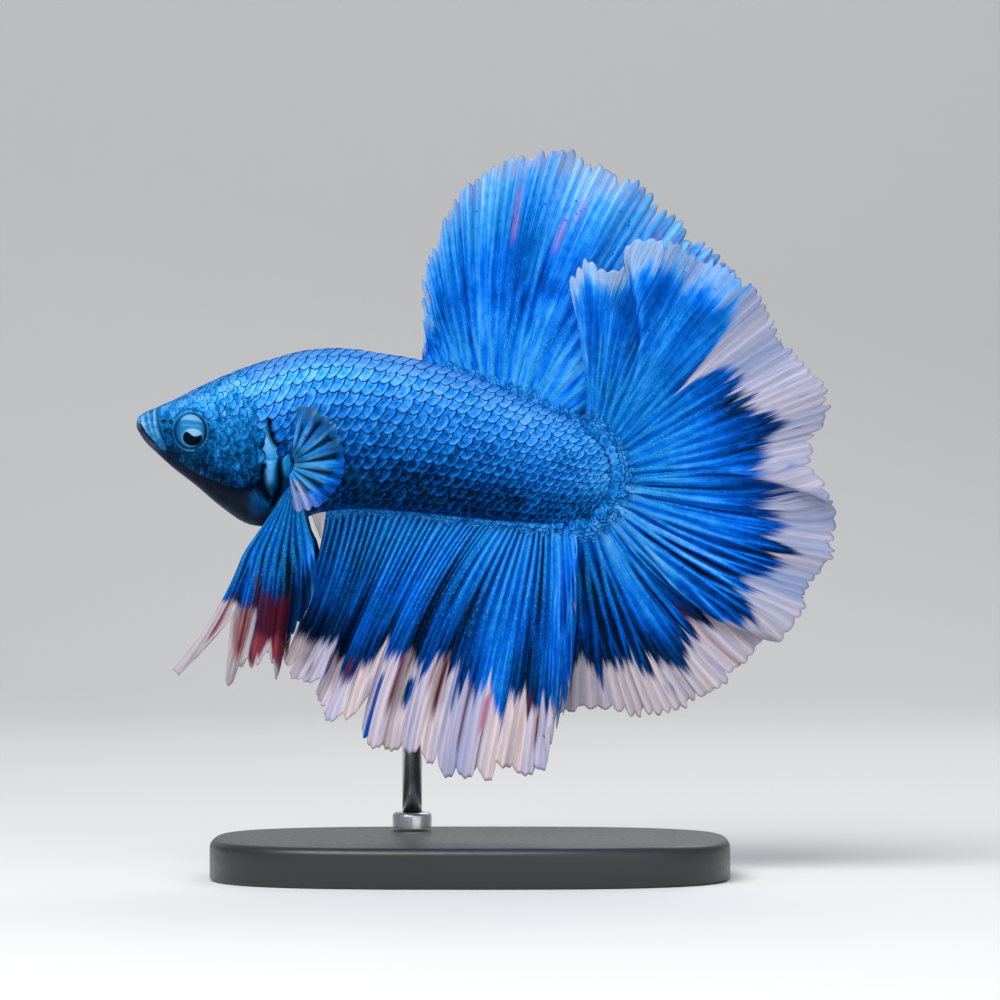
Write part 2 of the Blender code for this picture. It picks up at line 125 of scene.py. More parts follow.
FINE_SHARE = np.linspace(0.0, 1.0, 8001)
FINE_BODY = curve(BODY_STATIONS, FINE_SHARE)
FINE_BODY[:, 0] = np.maximum.accumulate(FINE_BODY[:, 0])
AROUND_TABLE = 241


def body_at(x):
    """Height of back, height of belly and half width at x."""
    return tuple(np.interp(x, FINE_BODY[:, 0], FINE_BODY[:, k]) for k in (1, 2, 3))


def body_bend(x):
    return -TAIL_BEND * np.clip((x - BEND_FROM) / (BEND_TO - BEND_FROM), 0.0, 1.0) ** 2


def half_section(x):
    """Half outline (outward y, z) of the bare body from back to belly, even in arc, and its length."""
    angle = np.linspace(0.0, math.pi, 721)
    c, s = np.cos(angle), np.sin(angle)
    top, low, half = body_at(x)
    power = 2.0 / lerp(POWER_HEAD, POWER_TAIL, smooth(-10.0, 10.0, x))
    middle = low + WIDEST_AT * (top - low)
    z = middle + np.where(c > 0, top - middle, middle - low) * np.sign(c) * np.abs(c) ** power
    line = np.stack([half * np.abs(s) ** power, z], -1)
    arc = run_length(line)
    even = np.linspace(0.0, arc[-1], AROUND_TABLE)
    return np.stack([np.interp(even, arc, line[:, k]) for k in (0, 1)], -1), arc[-1]


SECTION_X = np.unique(FINE_BODY[np.linspace(0, 8000, 601).astype(int), 0])
SECTIONS, GIRTHS = (np.array(v) for v in zip(*map(half_section, SECTION_X)))


def flank(x, a):
    """Point (x, outward y, z) of the bare flank at x and girth fraction a (0 back, 1 belly)."""
    x = np.clip(x, SECTION_X[0], SECTION_X[-1])
    i = np.clip(np.searchsorted(SECTION_X, x) - 1, 0, len(SECTION_X) - 2)
    fx = ((x - SECTION_X[i]) / (SECTION_X[i + 1] - SECTION_X[i]))[..., None]
    g = np.clip(a, 0.0, 1.0) * (AROUND_TABLE - 1)
    j = np.minimum(g.astype(int), AROUND_TABLE - 2)
    fa = (g - j)[..., None]
    yz = lerp(lerp(SECTIONS[i, j], SECTIONS[i, j + 1], fa),
              lerp(SECTIONS[i + 1, j], SECTIONS[i + 1, j + 1], fa), fx)
    return np.concatenate([x[..., None], yz], axis=-1)


def flank_normal(x, a):
    step_x, step_a = 0.06, 0.004
    n = unit(np.cross(flank(x + step_x, a) - flank(x - step_x, a),
                      flank(x, np.clip(a + step_a, 0, 1)) - flank(x, np.clip(a - step_a, 0, 1))))
    n = n * np.where(n[..., 1:2] < 0, -1.0, 1.0)
    n[..., 1] = np.where((a < 0.002) | (a > 0.998), 0.0, n[..., 1])
    return unit(n)


# ---- head features in side view (x, z) ------------------------------------------------------
def path_distance(x, z, path):
    """Least distance from points to an open path, and how far along it (0..1) that is."""
    best, where = np.full(np.shape(x), 1e9), np.zeros(np.shape(x))
    path = np.asarray(path, float)
    lengths = np.hypot(*np.diff(path, axis=0).T)
    run = 0.0
    for (ax, az), (bx, bz), length in zip(path[:-1], path[1:], lengths):
        t = np.clip(((x - ax) * (bx - ax) + (z - az) * (bz - az)) / length ** 2, 0.0, 1.0)
        d = np.hypot(x - ax - t * (bx - ax), z - az - t * (bz - az))
        where = np.where(d < best, (run + t * length) / lengths.sum(), where)
        best = np.minimum(best, d)
        run += length
    return best, where


def inside(x, z, outline):
    """Signed distance to a closed outline, positive inside."""
    closed = np.vstack([outline, outline[:1]])
    hit = np.zeros(np.shape(x), bool)
    for (ax, az), (bx, bz) in zip(closed[:-1], closed[1:]):
        hit ^= ((az > z) != (bz > z)) & (x < (bx - ax) * (z - az) / (bz - az + 1e-12) + ax)
    distance = path_distance(x, z, closed)[0]
    return np.where(hit, distance, -distance)


def rounded(*points):
    """Corner-cutting, so that a few points give a smooth path."""
    p = np.array(points)
    for _ in range(2):
        cut = np.stack([0.75 * p[:-1] + 0.25 * p[1:], 0.25 * p[:-1] + 0.75 * p[1:]], 1)
        p = np.vstack([p[:1], cut.reshape(-1, 2), p[-1:]])
    return p


MOUTH = rounded((-33.35, 45.55), (-32.95, 45.1), (-32.55, 44.4), (-32.0, 43.7), (-31.4, 43.1),
                (-30.9, 42.75))
# path, width, paleness
LIP_BANDS = ((rounded((-32.95, 46.3), (-32.85, 45.7), (-32.50, 44.8), (-32.05, 43.95)), 0.17, 0.85),
             (rounded((-32.30, 46.7), (-32.25, 46.0), (-32.00, 45.0), (-31.55, 43.8)), 0.09, 0.65),
             (rounded((-31.62, 47.0), (-31.66, 46.1), (-31.46, 44.9), (-31.10, 43.6)), 0.12, 0.80))
LIP_STEP = rounded((-31.3, 47.1), (-31.35, 46.1), (-31.12, 44.9), (-30.7, 43.6), (-30.3, 42.9))
LIP_BACK = ((42.9, -30.3), (43.6, -30.7), (44.9, -31.12), (46.1, -31.35), (47.1, -31.3))
CHEEK_EDGE = rounded((-30.4, 42.6), (-29.4, 41.7), (-28.0, 40.85), (-26.0, 39.95), (-24.2, 39.1),
                     (-22.7, 38.85), (-21.7, 39.3), (-21.2, 40.3), (-20.95, 41.4), (-20.9, 42.8),
                     (-20.8, 44.2), (-20.4, 45.6))
CHEEK_PLATE = np.vstack([CHEEK_EDGE, [(-20.6, 47.4), (-23.0, 49.0), (-31.0, 48.5)]])
# path, depth, width
SLITS = ((rounded((-20.1, 46.1), (-19.95, 45.3), (-19.78, 44.5), (-19.5, 43.75), (-19.05, 43.15),
                  (-18.6, 42.8)), 0.66, 0.24),
         (rounded((-20.2, 41.35), (-20.85, 40.9), (-21.1, 40.0), (-20.95, 39.0), (-20.35, 38.2),
                  (-19.75, 37.3)), 0.74, 0.34),
         (rounded((-18.95, 42.2), (-19.0, 41.2), (-18.95, 40.2), (-18.8, 39.4), (-19.1, 38.4),
                  (-19.55, 37.4), (-20.0, 36.5)), 0.62, 0.19),
         (rounded((-20.6, 41.95), (-19.8, 41.75), (-19.0, 41.95)), 0.14, 0.08))
SHOULDER_EDGE = rounded((-18.1, 39.2), (-18.75, 38.0), (-19.35, 36.8), (-19.9, 35.7))
CHEEK_CRACK = rounded((-24.9, 42.0), (-24.5, 42.5), (-24.1, 42.15), (-23.95, 41.6))
NOSTRILS = ((-30.72, 45.68, 0.30, 0.25), (-29.92, 45.62, 0.18, 0.24))
PORES = ((-26.00, 45.95, 0.17, 0.15), (-24.60, 45.98, 0.24, 0.13), (-25.4, 47.0, 0.12, 0.1),
         (-22.6, 47.6, 0.16, 0.1), (-23.9, 46.9, 0.12, 0.09))
# where the trunk scales begin, behind the gill opening (height, x)
GILL_BORDER = ((35.0, -18.3), (42.6, -18.3), (43.1, -18.7), (43.7, -19.2), (44.5, -19.45),
               (45.2, -19.6), (46.2, -20.1), (47.5, -21.2), (49.5, -22.6), (52.0, -23.4))
# upper edge of the black skin under the cheek (x, height)
THROAT_LINE = ((-33.3, 44.9), (-31.6, 43.1), (-30.4, 42.5), (-29.4, 41.9), (-28.0, 40.95),
               (-26.0, 39.9), (-24.2, 39.1), (-22.7, 38.85), (-21.7, 39.1), (-20.8, 38.7),
               (-20.0, 37.4))


def orbit_reach(x, z):
    return np.hypot((x - EYE_X) / 1.80, (z - EYE_Z) / 2.00)


def hub_reach(x, z):
    return np.hypot((x - HUB_X + 0.08 * (z - HUB_Z)) / 0.60, (z - HUB_Z) / 1.45)


def head_form(x, z):
    """Outward move of the bare skin on the flank at (x, z), with masks of painted shade in grooves, gape,
    creases, slits and pits (dark) and of pale marks, partly a painted highlight on the shoulder ridge (pale).
    """
    r = orbit_reach(x, z)
    front = smooth(0.3, -1.0, (x - EYE_X) / 1.8)
    low = smooth(0.6, -0.8, (z - EYE_Z) / 2.0)
    move = (0.08 * bell(r, 1.0, 0.05) + 0.05 * bell(r, 1.20, 0.07) - 0.07 * bell(r, 0.925, 0.03)
            - 0.05 * bell(r, 1.10, 0.04) - 0.80 * smooth(0.90, 0.82, r))
    # painted shade in the grooves round the eye, wider on its front side
    dark = [0.50 * bell(r, 0.915, 0.03) + 0.34 * bell(r, 1.09, 0.028), 0.50 * front * bell(r, 0.92, 0.06)]
    pale = [(0.16 + 0.30 * low) * bell(r, 1.0, 0.030) * (1.0 - 0.6 * front)]

    d, t = path_distance(x, z, MOUTH)
    gape = bell(d, 0.0, 0.11) * span(0.0, 0.15, 0.60, 0.95, t)
    move += 0.10 * bell(d, 0.30, 0.14) * smooth(1.0, 0.7, t) - 0.34 * gape
    # painted shade in the gape of the mouth
    dark.append(0.80 * gape)
    for path, width, strength in LIP_BANDS:
        d, t = path_distance(x, z, path)
        fade = smooth(1.0, 0.60, t)
        move += 0.10 * bell(d, 0.0, width * 1.2) * fade
        pale.append(strength * bell(d, 0.0, width) * fade)
    d, t = path_distance(x, z, LIP_STEP)
    crease = bell(d, 0.0, 0.10) * smooth(1.0, 0.8, t)
    move -= 0.14 * crease
    # painted shade in the crease behind the lips
    dark.append(0.60 * crease)

    plate = inside(x, z, CHEEK_PLATE)
    edge, t = path_distance(x, z, CHEEK_EDGE)
    move += 0.34 * span(0.12, 0.35, 0.60, 0.70, t) * smooth(-0.12, 0.14, plate) * bell(plate, 0.1, 1.6)
    move -= 0.30 * smooth(0.05, -0.25, plate) * smooth(1.8, 0.2, edge) * span(0.15, 0.4, 0.65, 0.8, t)
    # painted shade in the recess under the cheek plate's edge
    dark.append(bell(plate, -0.16, 0.20) * span(0.2, 0.4, 0.62, 0.75, t))
    for path, depth, width in SLITS:
        d, t = path_distance(x, z, path)
        cut = bell(d, 0.0, width * (0.45 + 1.1 * np.sin(math.pi * t))) * span(0.0, 0.08, 0.88, 1.0, t)
        move -= depth * cut
        # painted shade in the gill slits and the small crease
        dark.append(np.minimum(1.25 * cut, 1.0) if depth > 0.2 else 0.4 * cut)
    d, t = path_distance(x, z, SHOULDER_EDGE)
    move += 0.30 * bell(d, 0.0, 0.24) * smooth(0.0, 0.2, t)
    # painted highlight along the shoulder ridge
    pale.append(0.55 * bell(d, 0.0, 0.13) * smooth(0.1, 0.5, t))
    d, t = path_distance(x, z, CHEEK_CRACK)
    move -= 0.12 * bell(d, 0.0, 0.06)
    # painted shade in the cheek crack
    dark.append(0.9 * bell(d, 0.0, 0.07))

    # gill membrane, its lobe, the throat folds and the mound under the pectoral fin
    move += 0.42 * spot(x, z, -19.9, 40.3, 0.62, 1.45) + 0.30 * spot(x, z, -19.99, 43.3, 0.72, 1.35, 0.20)
    pale += [0.58 * spot(x, z, -20.19, 43.3, 0.50, 1.15, 0.20), 0.48 * spot(x, z, -19.95, 40.7, 0.42, 1.15)]
    for fold_x in (-21.7, -20.95, -20.3):
        move += 0.20 * bell(x - 0.55 * (37.6 - z), fold_x, 0.24) * bell(z, 37.5, 1.0)
    hub = hub_reach(x, z)
    move += 0.62 * smooth(1.15, 0.55, hub)
    # painted shade in the ring round the mound under the pectoral fin
    dark.append(0.85 * bell(hub, 1.12, 0.14))
    for k, (px, pz, rx, rz) in enumerate(NOSTRILS + PORES):
        q = np.hypot((x - px) / rx, (z - pz) / rz)
        move += 0.07 * bell(q, 1.35, 0.35) - (0.34 if k < len(NOSTRILS) else 0.14) * bell(q, 0.0, 0.75)
        # painted shade in the nostrils and pores
        dark.append(bell(q, 0.0, 0.85))
    pale += [0.75 * bell(np.hypot(x + 33.35, z - 46.0), 0.0, 0.55),
             0.8 * bell(np.hypot(x + 29.95, z - 45.28), 0.0, 0.12),
             0.45 * bell(np.hypot((x + 30.95) / 2.2, z - 46.02), 0.0, 0.13)]
    return move, np.clip(most(*dark), 0.0, 1.0), np.clip(most(*pale), 0.0, 1.0)


def throat_mask(x, z):
    return smooth(0.30, -0.45, z - steps(x, THROAT_LINE)) * smooth(-19.4, -20.6, x)


# the lightening of the lower flank at the tail end (x 10.5 to 14.5) is painted light against the shade there
# amount, x from and to, girth fraction from and to
TONE_PATCHES = ((0.14, -24.0, -30.0, 0.3, 0.7), (0.10, -19.0, -23.0, 0.15, 0.5),
                (-0.26, 2.0, 12.0, 0.4, 0.8), (0.06, 4.0, 12.0, 0.5, 0.2),
                (-0.24, 10.5, 14.5, 0.25, 0.5), (0.14, 7.0, 13.0, 0.40, 0.15),
                (0.08, -6.0, 4.0, 0.30, 0.08), (0.25, -19.0, -25.0, 0.36, 0.0))


def tone(x, a):
    """0 the pale back, about 0.6 the dark lower flank, a little lighter again at the belly: partly the fish's
    own colour, partly painted light from above (light back, shaded lower flank).
    """
    t = 0.04 + 0.42 * smooth(0.10, 0.52, a) + 0.46 * bell(a, 0.78, 0.17) + 0.16 * smooth(0.7, 1.0, a)
    for amount, x0, x1, a0, a1 in TONE_PATCHES:
        t = t + amount * smooth(x0, x1, x) * smooth(a0, a1, a)
    t = t - 0.40 * bell(x, -19.7, 1.0) * bell(a, 0.55, 0.2) - 0.06 * bell(x, -25.0, 3.0) * bell(a, 0.52, 0.12)
    return np.clip(t, 0.0, 1.0)


# ---- mesh making ----------------------------------------------------------------------------
def make_mesh(name, verts, faces, mat, nodes=(), attrs=None, uv=None):
    """faces is a list of (k, 3) or (k, 4) arrays; uv is a matching list of (k, n, 2) arrays."""
    mesh = bpy.data.meshes.new(name)
    mesh.vertices.add(len(verts))
    mesh.vertices.foreach_set("co", (np.asarray(verts, float) * MM).astype(np.float32).ravel())
    loops = np.concatenate([f.ravel() for f in faces])
    sizes = np.concatenate([np.full(len(f), f.shape[1]) for f in faces])
    mesh.loops.add(len(loops))
    mesh.loops.foreach_set("vertex_index", loops.astype(np.int32))
    mesh.polygons.add(len(sizes))
    mesh.polygons.foreach_set("loop_start", (np.cumsum(sizes) - sizes).astype(np.int32))
    if uv is not None:
        flat = np.concatenate([u.reshape(-1, 2) for u in uv]).astype(np.float32)
        mesh.uv_layers.new(name="OFBake").data.foreach_set("uv", flat.ravel())
    for key, values in (attrs or {}).items():
        mesh.attributes.new(key, 'FLOAT', 'POINT').data.foreach_set(
            "value", np.asarray(values, np.float32).ravel())
    mesh.update(calc_edges=True)
    mesh.validate()
    mesh.polygons.foreach_set("use_smooth", np.ones(len(sizes), bool))
    mesh.materials.append(mat)
    obj = bpy.data.objects.new(name, mesh)
    bpy.context.scene.collection.objects.link(obj)
    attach(obj, "root")
    if nodes:
        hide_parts(*nodes)
    return obj


def grid_quads(g):
    """Quads over a grid of vertex numbers or of UV places."""
    quads = np.stack([g[:-1, :-1], g[1:, :-1], g[1:, 1:], g[:-1, 1:]], axis=2)
    return quads.reshape(-1, *quads.shape[2:])


def numbered(rows, columns, closed=False):
    g = np.arange(rows * columns).reshape(rows, columns)
    return np.hstack([g, g[:, :1]]) if closed else g


TURNED = [0, 3, 2, 1]


def fan(tip, line, low_to_high=True):
    """Triangles (or their UV places) from one tip to a line of points."""
    a, b = (line[:-1], line[1:]) if low_to_high else (line[1:], line[:-1])
    return np.stack([np.broadcast_to(tip, a.shape), a, b], axis=1)


# ---- shader helpers -------------------------------------------------------------------------
class Wire:
    """A node's output, which takes part in sums and products."""

    def __init__(self, shader, socket):
        self.shader, self.socket = shader, socket

    def __add__(self, other):
        return self.shader.math('ADD', self, other)

    def __sub__(self, other):
        return self.shader.math('SUBTRACT', self, other)

    def __rsub__(self, other):
        return self.shader.math('SUBTRACT', other, self)

    def __mul__(self, other):
        return self.shader.math('MULTIPLY', self, other)


class Shader:
    """Small helper that writes a node material top to bottom."""

    def __init__(self, name):
        self.mat = bpy.data.materials.new(name)
        self.mat.use_nodes = True
        self.tree = self.mat.node_tree
        self.bsdf = self.tree.nodes["Principled BSDF"]

    def put(self, value, socket):
        if isinstance(value, Wire):
            self.tree.links.new(value.socket, socket)
        elif isinstance(value, tuple) and len(value) == 3 and len(socket.default_value) == 4:
            socket.default_value = (*value, 1.0)
        else:
            socket.default_value = value

    def node(self, kind, inputs, output=0, **settings):
        n = self.tree.nodes.new("ShaderNode" + kind)
        for key, value in settings.items():
            setattr(n, key, value)
        for key, value in inputs.items():
            self.put(value, n.inputs[key])
        return Wire(self, n.outputs[output])

    def attr(self, name):
        return self.node("Attribute", {}, "Fac", attribute_name=name)

    def math(self, op, a, b=0.0, clamp=False):
        return self.node("Math", {0: a, 1: b}, operation=op, use_clamp=clamp)

    def mix(self, fac, a, b):
        return self.node("Mix", {0: fac, 6: a, 7: b}, 2, data_type='RGBA', clamp_factor=True)

    def ramp(self, fac, *stops):
        wire = self.node("ValToRGB", {0: fac})
        elements = wire.socket.node.color_ramp.elements
        while len(elements) < len(stops):
            elements.new(0.5)
        for element, (place, colour) in zip(elements, stops):
            element.position = place
            element.color = (*(colour if isinstance(colour, tuple) else (colour,) * 3), 1.0)
        return wire

    def step(self, low, high, value):
        return self.node("MapRange", {"From Min": low, "From Max": high, "Value": value},
                         interpolation_type='SMOOTHSTEP')

    def position(self):
        return self.node("TexCoord", {}, "Object")

    def noise(self, scale, detail=3.0, vector=None):
        return self.node("TexNoise", {"Scale": scale, "Detail": detail, "Roughness": 0.55,
                                      "Vector": vector or self.position()}, "Fac")

    def noise2(self, u, v, su, sv, detail=2.0):
        """Noise over two numbers, each with its own scale."""
        return self.noise(1.0, detail, self.node("CombineXYZ", {0: u * su, 1: v * sv}))

    def bump(self, height, strength, distance):
        self.put(self.node("Bump", {"Strength": strength, "Distance": distance, "Height": height}),
                 self.bsdf.inputs["Normal"])

    def surface(self, colour, roughness, metallic=0.0, specular=0.5, coat=0.0, coat_roughness=0.03,
                tint=(1.0, 1.0, 1.0)):
        for key, value in (("Base Color", colour), ("Roughness", roughness), ("Metallic", metallic),
                           ("Specular IOR Level", specular), ("Specular Tint", tint),
                           ("Coat Weight", coat), ("Coat Roughness", coat_roughness)):
            self.put(value, self.bsdf.inputs[key])


SHEEN_BLUE = (0.12, 0.50, 1.00)
# colours by tone, palest to darkest
HEAD_TONES = ((0.00, (0.120, 0.400, 0.760)), (0.20, (0.024, 0.280, 0.640)),
              (0.42, (0.004, 0.170, 0.430)), (0.62, (0.001, 0.080, 0.220)),
              (0.80, (0.000, 0.034, 0.110)), (1.00, (0.000, 0.008, 0.028)))
BODY_TONES = ((0.00, (0.105, 0.330, 0.780)), (0.20, (0.022, 0.235, 0.740)),
              (0.40, (0.004, 0.150, 0.600)), (0.58, (0.000, 0.072, 0.330)),
              (0.76, (0.000, 0.032, 0.165)), (0.92, (0.000, 0.014, 0.070)),
              (1.00, (0.000, 0.007, 0.026)))


def skin_material():
    s = Shader("fish_skin")
    grain = s.noise(2600.0)
    shade = s.attr("tone") + (s.noise(420.0, 2.0) - 0.5) * 0.36 + (grain - 0.5) * 0.60
    colour = s.mix(s.step(0.45, 0.75, s.noise(900.0, 2.0)) * 0.30, s.ramp(shade, *HEAD_TONES),
                   (0.006, 0.200, 0.420))
    # dark navy skin seen between the scales: partly its own colour, partly painted shade in the gaps
    colour = s.mix(s.attr("between"), colour, (0.000, 0.026, 0.130))
    lip = s.mix(s.step(0.35, 0.75, s.noise(2100.0, 2.0)), (0.004, 0.090, 0.290), (0.030, 0.240, 0.480))
    colour = s.mix(s.attr("lip"), colour, lip)
    jaw = s.mix(s.noise(1300.0), (0.002, 0.003, 0.006), (0.011, 0.016, 0.028))
    jaw = s.mix(s.attr("fold"), jaw, s.mix(s.noise(800.0), (0.000, 0.016, 0.060), (0.002, 0.070, 0.210)))
    jaw = s.mix(s.attr("jaw"), jaw, s.mix(s.noise(1900.0), (0.012, 0.018, 0.040), (0.070, 0.075, 0.120)))
    # painted rim light along the lower edge of the head
    jaw = s.mix(s.attr("chin") * s.noise(900.0), jaw, (0.075, 0.080, 0.115))
    colour = s.mix(s.attr("throat"), colour, jaw)
    # pale marks: lip bands, gill membrane, ring round the eye, and a painted highlight on the shoulder ridge
    colour = s.mix(s.attr("pale") * s.step(0.2, 0.6, grain), colour, (0.210, 0.460, 0.800))
    # painted shade in grooves, gape, creases, slits and pits (the dark mask)
    colour = s.mix(s.attr("dark"), colour, (0.001, 0.003, 0.010))
    s.surface(colour, s.ramp(grain, (0.3, 0.36), (0.7, 0.55)), 0.30, 0.12, 0.0, 0.25, SHEEN_BLUE)
    s.bump(s.noise(1700.0, 4.0), 0.7, 0.00009)
    return s.mat


def scale_material():
    s = Shader("fish_scales")
    seed, rim, fore, tone_in, calm, head = map(s.attr, ("seed", "rim", "fore", "tone", "calm", "head"))
    shade = tone_in + (seed - 0.5) * 0.14 + (s.noise(330.0) - 0.5) * 0.36 + (s.noise(1700.0) - 0.5) * 0.95
    shade = shade + (s.noise(1050.0, 2.0) - 0.5) * 0.75 * head
    colour = s.mix(head * 0.75, s.ramp(shade, *BODY_TONES), s.ramp(shade, *HEAD_TONES))
    colour = s.mix(s.step(0.48, 0.70, s.noise(260.0, 2.0)) * 0.22, colour, (0.003, 0.180, 0.400))
    heart = s.step(0.66, 0.10, rim + (s.noise(1900.0) - 0.5) * 0.7) * 0.70
    colour = s.mix(heart, colour, s.ramp(shade + 0.16, *BODY_TONES))
    # painted highlight: a bright ring along each scale's free edge
    ring = s.ramp(rim, (0.46, 0.0), (0.70, 1.0), (0.80, 0.9), (0.88, 0.0)) * s.step(-0.2, 0.5, fore)
    colour = s.mix(ring * (0.75 - calm * 0.55), colour, s.ramp(shade - 0.26, *BODY_TONES))
    # painted glints: small bright specks, mostly on the paler scales
    glint_speck = s.step(0.56, 0.68, s.noise(3300.0, 2.0)) * s.ramp(shade, (0.2, 0.55), (0.8, 0.10))
    colour = s.mix(glint_speck, colour, (0.05, 0.36, 0.78))
    # dark colour along each scale's edge (partly its dark rim, partly painted shade in the gap) and painted
    # shade where the scale in front covers it
    edge = s.step(0.84, 0.95, rim + (s.noise(2600.0) - 0.5) * 0.16)
    covered_shade = s.step(-0.15, -0.80, fore) * 0.75
    # colour for the edges and gaps: partly dark rim, partly painted shade
    gap = s.ramp(tone_in, (0.0, (0.001, 0.100, 0.400)), (0.5, (0.000, 0.034, 0.180)),
                 (1.0, (0.000, 0.006, 0.036)))
    colour = s.mix(s.math('MAXIMUM', edge, covered_shade) * (0.88 - calm * 0.56), colour, gap)
    s.surface(colour, s.ramp(s.noise(1800.0), (0.3, 0.36), (0.7, 0.54)), 0.30, 0.12, 0.0, 0.25,
              SHEEN_BLUE)
    s.bump(s.noise(2200.0, 4.0), 0.7, 0.00009)
    return s.mat


# ---- skin and scales ------------------------------------------------------------------------
def add_skin(mat):
    """One closed skin over the body, in finer steps along the head."""
    ends = (-33.0, 14.6)
    nose, rear = np.interp(ends, FINE_BODY[:, 0], FINE_SHARE)
    xs = np.concatenate([curve(BODY_STATIONS, np.linspace(0.0, nose, 9))[:, 0],
                         np.linspace(ends[0], HEAD_END, 172)[1:], np.linspace(HEAD_END, ends[1], 176)[1:],
                         curve(BODY_STATIONS, np.linspace(rear, 1.0, 13))[1:, 0]])
    around = 264
    turn = np.arange(around) / around * 2.0
    side = np.where(turn <= 1.0, 1.0, -1.0)
    X, A = np.meshgrid(xs, np.minimum(turn, 2.0 - turn), indexing='ij')
    P, N = flank(X, A), flank_normal(X, A)
    px, pz = P[..., 0], P[..., 2]
    half = body_at(X)[2]
    ahead = smooth(SHOULDER, HEAD_END, X)
    seen = smooth(0.10, 0.45, np.abs(N[..., 1])) * ahead
    move, dark, pale = head_form(px, pz)
    move = move * seen * np.minimum(1.0, half / 1.3) - SCALE_DEPTH * smooth(0.2, 1.2, half)
    Q = P + N * move[..., None]
    Q[..., 1] = -side * Q[..., 1] + body_bend(Q[..., 0])
    hub = hub_reach(px, pz)
    over_mouth = pz - np.interp(px, *MOUTH.T)
    throat = most(throat_mask(px, pz) * ahead, smooth(0.12, -0.05, over_mouth) * smooth(-30.2, -31.2, X))
    # dark is painted shade in grooves, creases, slits and pits; pale includes a painted highlight on the
    # shoulder ridge
    masks = {"tone": tone(X, A) - 0.22 * smooth(1.1, 0.6, hub), "dark": dark * seen, "pale": pale * seen,
             "throat": throat, "jaw": smooth(-30.6, -31.8, px),
             "lip": smooth(0.15, -0.25, px - steps(pz, LIP_BACK)) * smooth(-0.1, 0.12, over_mouth),
             # painted rim light along the lower edge of the head
             "chin": smooth(0.86, 0.98, A) * smooth(-19.5, -21.5, X),
             "fold": smooth(-22.6, -21.2, px) * smooth(35.6, 37.0, pz),
             # skin between the scales: partly its own colour, partly painted shade in the gaps
             "between": 0.85 * smooth(-0.3, 0.2, px - steps(pz, GILL_BORDER)) * smooth(1.0, 1.25, hub)
             * (1.0 - throat)}
    attrs = {key: np.append(m, (m[0].mean(), m[-1].mean())) for key, m in masks.items()}
    u = (xs - xs[0]) / (xs[-1] - xs[0]) * 0.96 + 0.02
    v = np.arange(around + 1) / around * 0.98 + 0.01
    grid = np.stack(np.meshgrid(u, v, indexing='ij'), -1)
    tips = [np.stack([np.full(around, end), (v[:-1] + v[1:]) / 2], -1) for end in (0.006, 0.994)]
    g = numbered(len(xs), around, closed=True)
    first = len(xs) * around
    make_mesh("fish_skin", np.vstack([Q.reshape(-1, 3), Q[0].mean(axis=0), Q[-1].mean(axis=0)]),
              [grid_quads(g), np.vstack([fan(first, g[0]), fan(first + 1, g[-1], False)])],
              mat,
              ("head", "gill_cover_left", "gill_cover_right", "trunk_front", "trunk_rear", "tail_root"),
              attrs, [grid_quads(grid), np.vstack([fan(tips[0], grid[0]), fan(tips[1], grid[-1], False)])])


SCALE_CELLS = 8
ROWS = 16


def scale_template(cells):
    """A scale's disc: places along and across it, reach from its middle, faces above and below."""
    g = np.linspace(-1.0, 1.0, cells + 1)
    X, Y = np.meshgrid(g, g, indexing='ij')
    p, q = (X * np.sqrt(1.0 - 0.5 * Y ** 2)).ravel(), (Y * np.sqrt(1.0 - 0.5 * X ** 2)).ravel()
    idx = numbered(cells + 1, cells + 1)
    rim = np.concatenate([idx[0, :-1], idx[:-1, -1], idx[-1, :0:-1], idx[:, 0][::-1]])
    return p, q, np.clip(np.hypot(p, q), 0.0, 1.0), (grid_quads(idx), fan(idx.size, rim))


def scale_coat(name, verts, turned, faces, uvs, attrs, mat):
    """One mesh of scales; verts is (scale, point, 3) and each scale has its own patch of the unwrap."""
    count, points = verts.shape[:2]
    each = np.arange(count)[:, None, None]
    order = [np.where(np.broadcast_to(turned, count)[:, None, None], f[:, ::-1], f) for f in faces]
    make_mesh(name, verts.reshape(-1, 3), [(f + each * points).reshape(-1, f.shape[-1]) for f in order],
              mat, (),
              {key: np.broadcast_to(value, (count, points)) for key, value in attrs.items()},
              [uv[each, f].reshape(-1, f.shape[-1], 2) for uv, f in zip(uvs, order)])


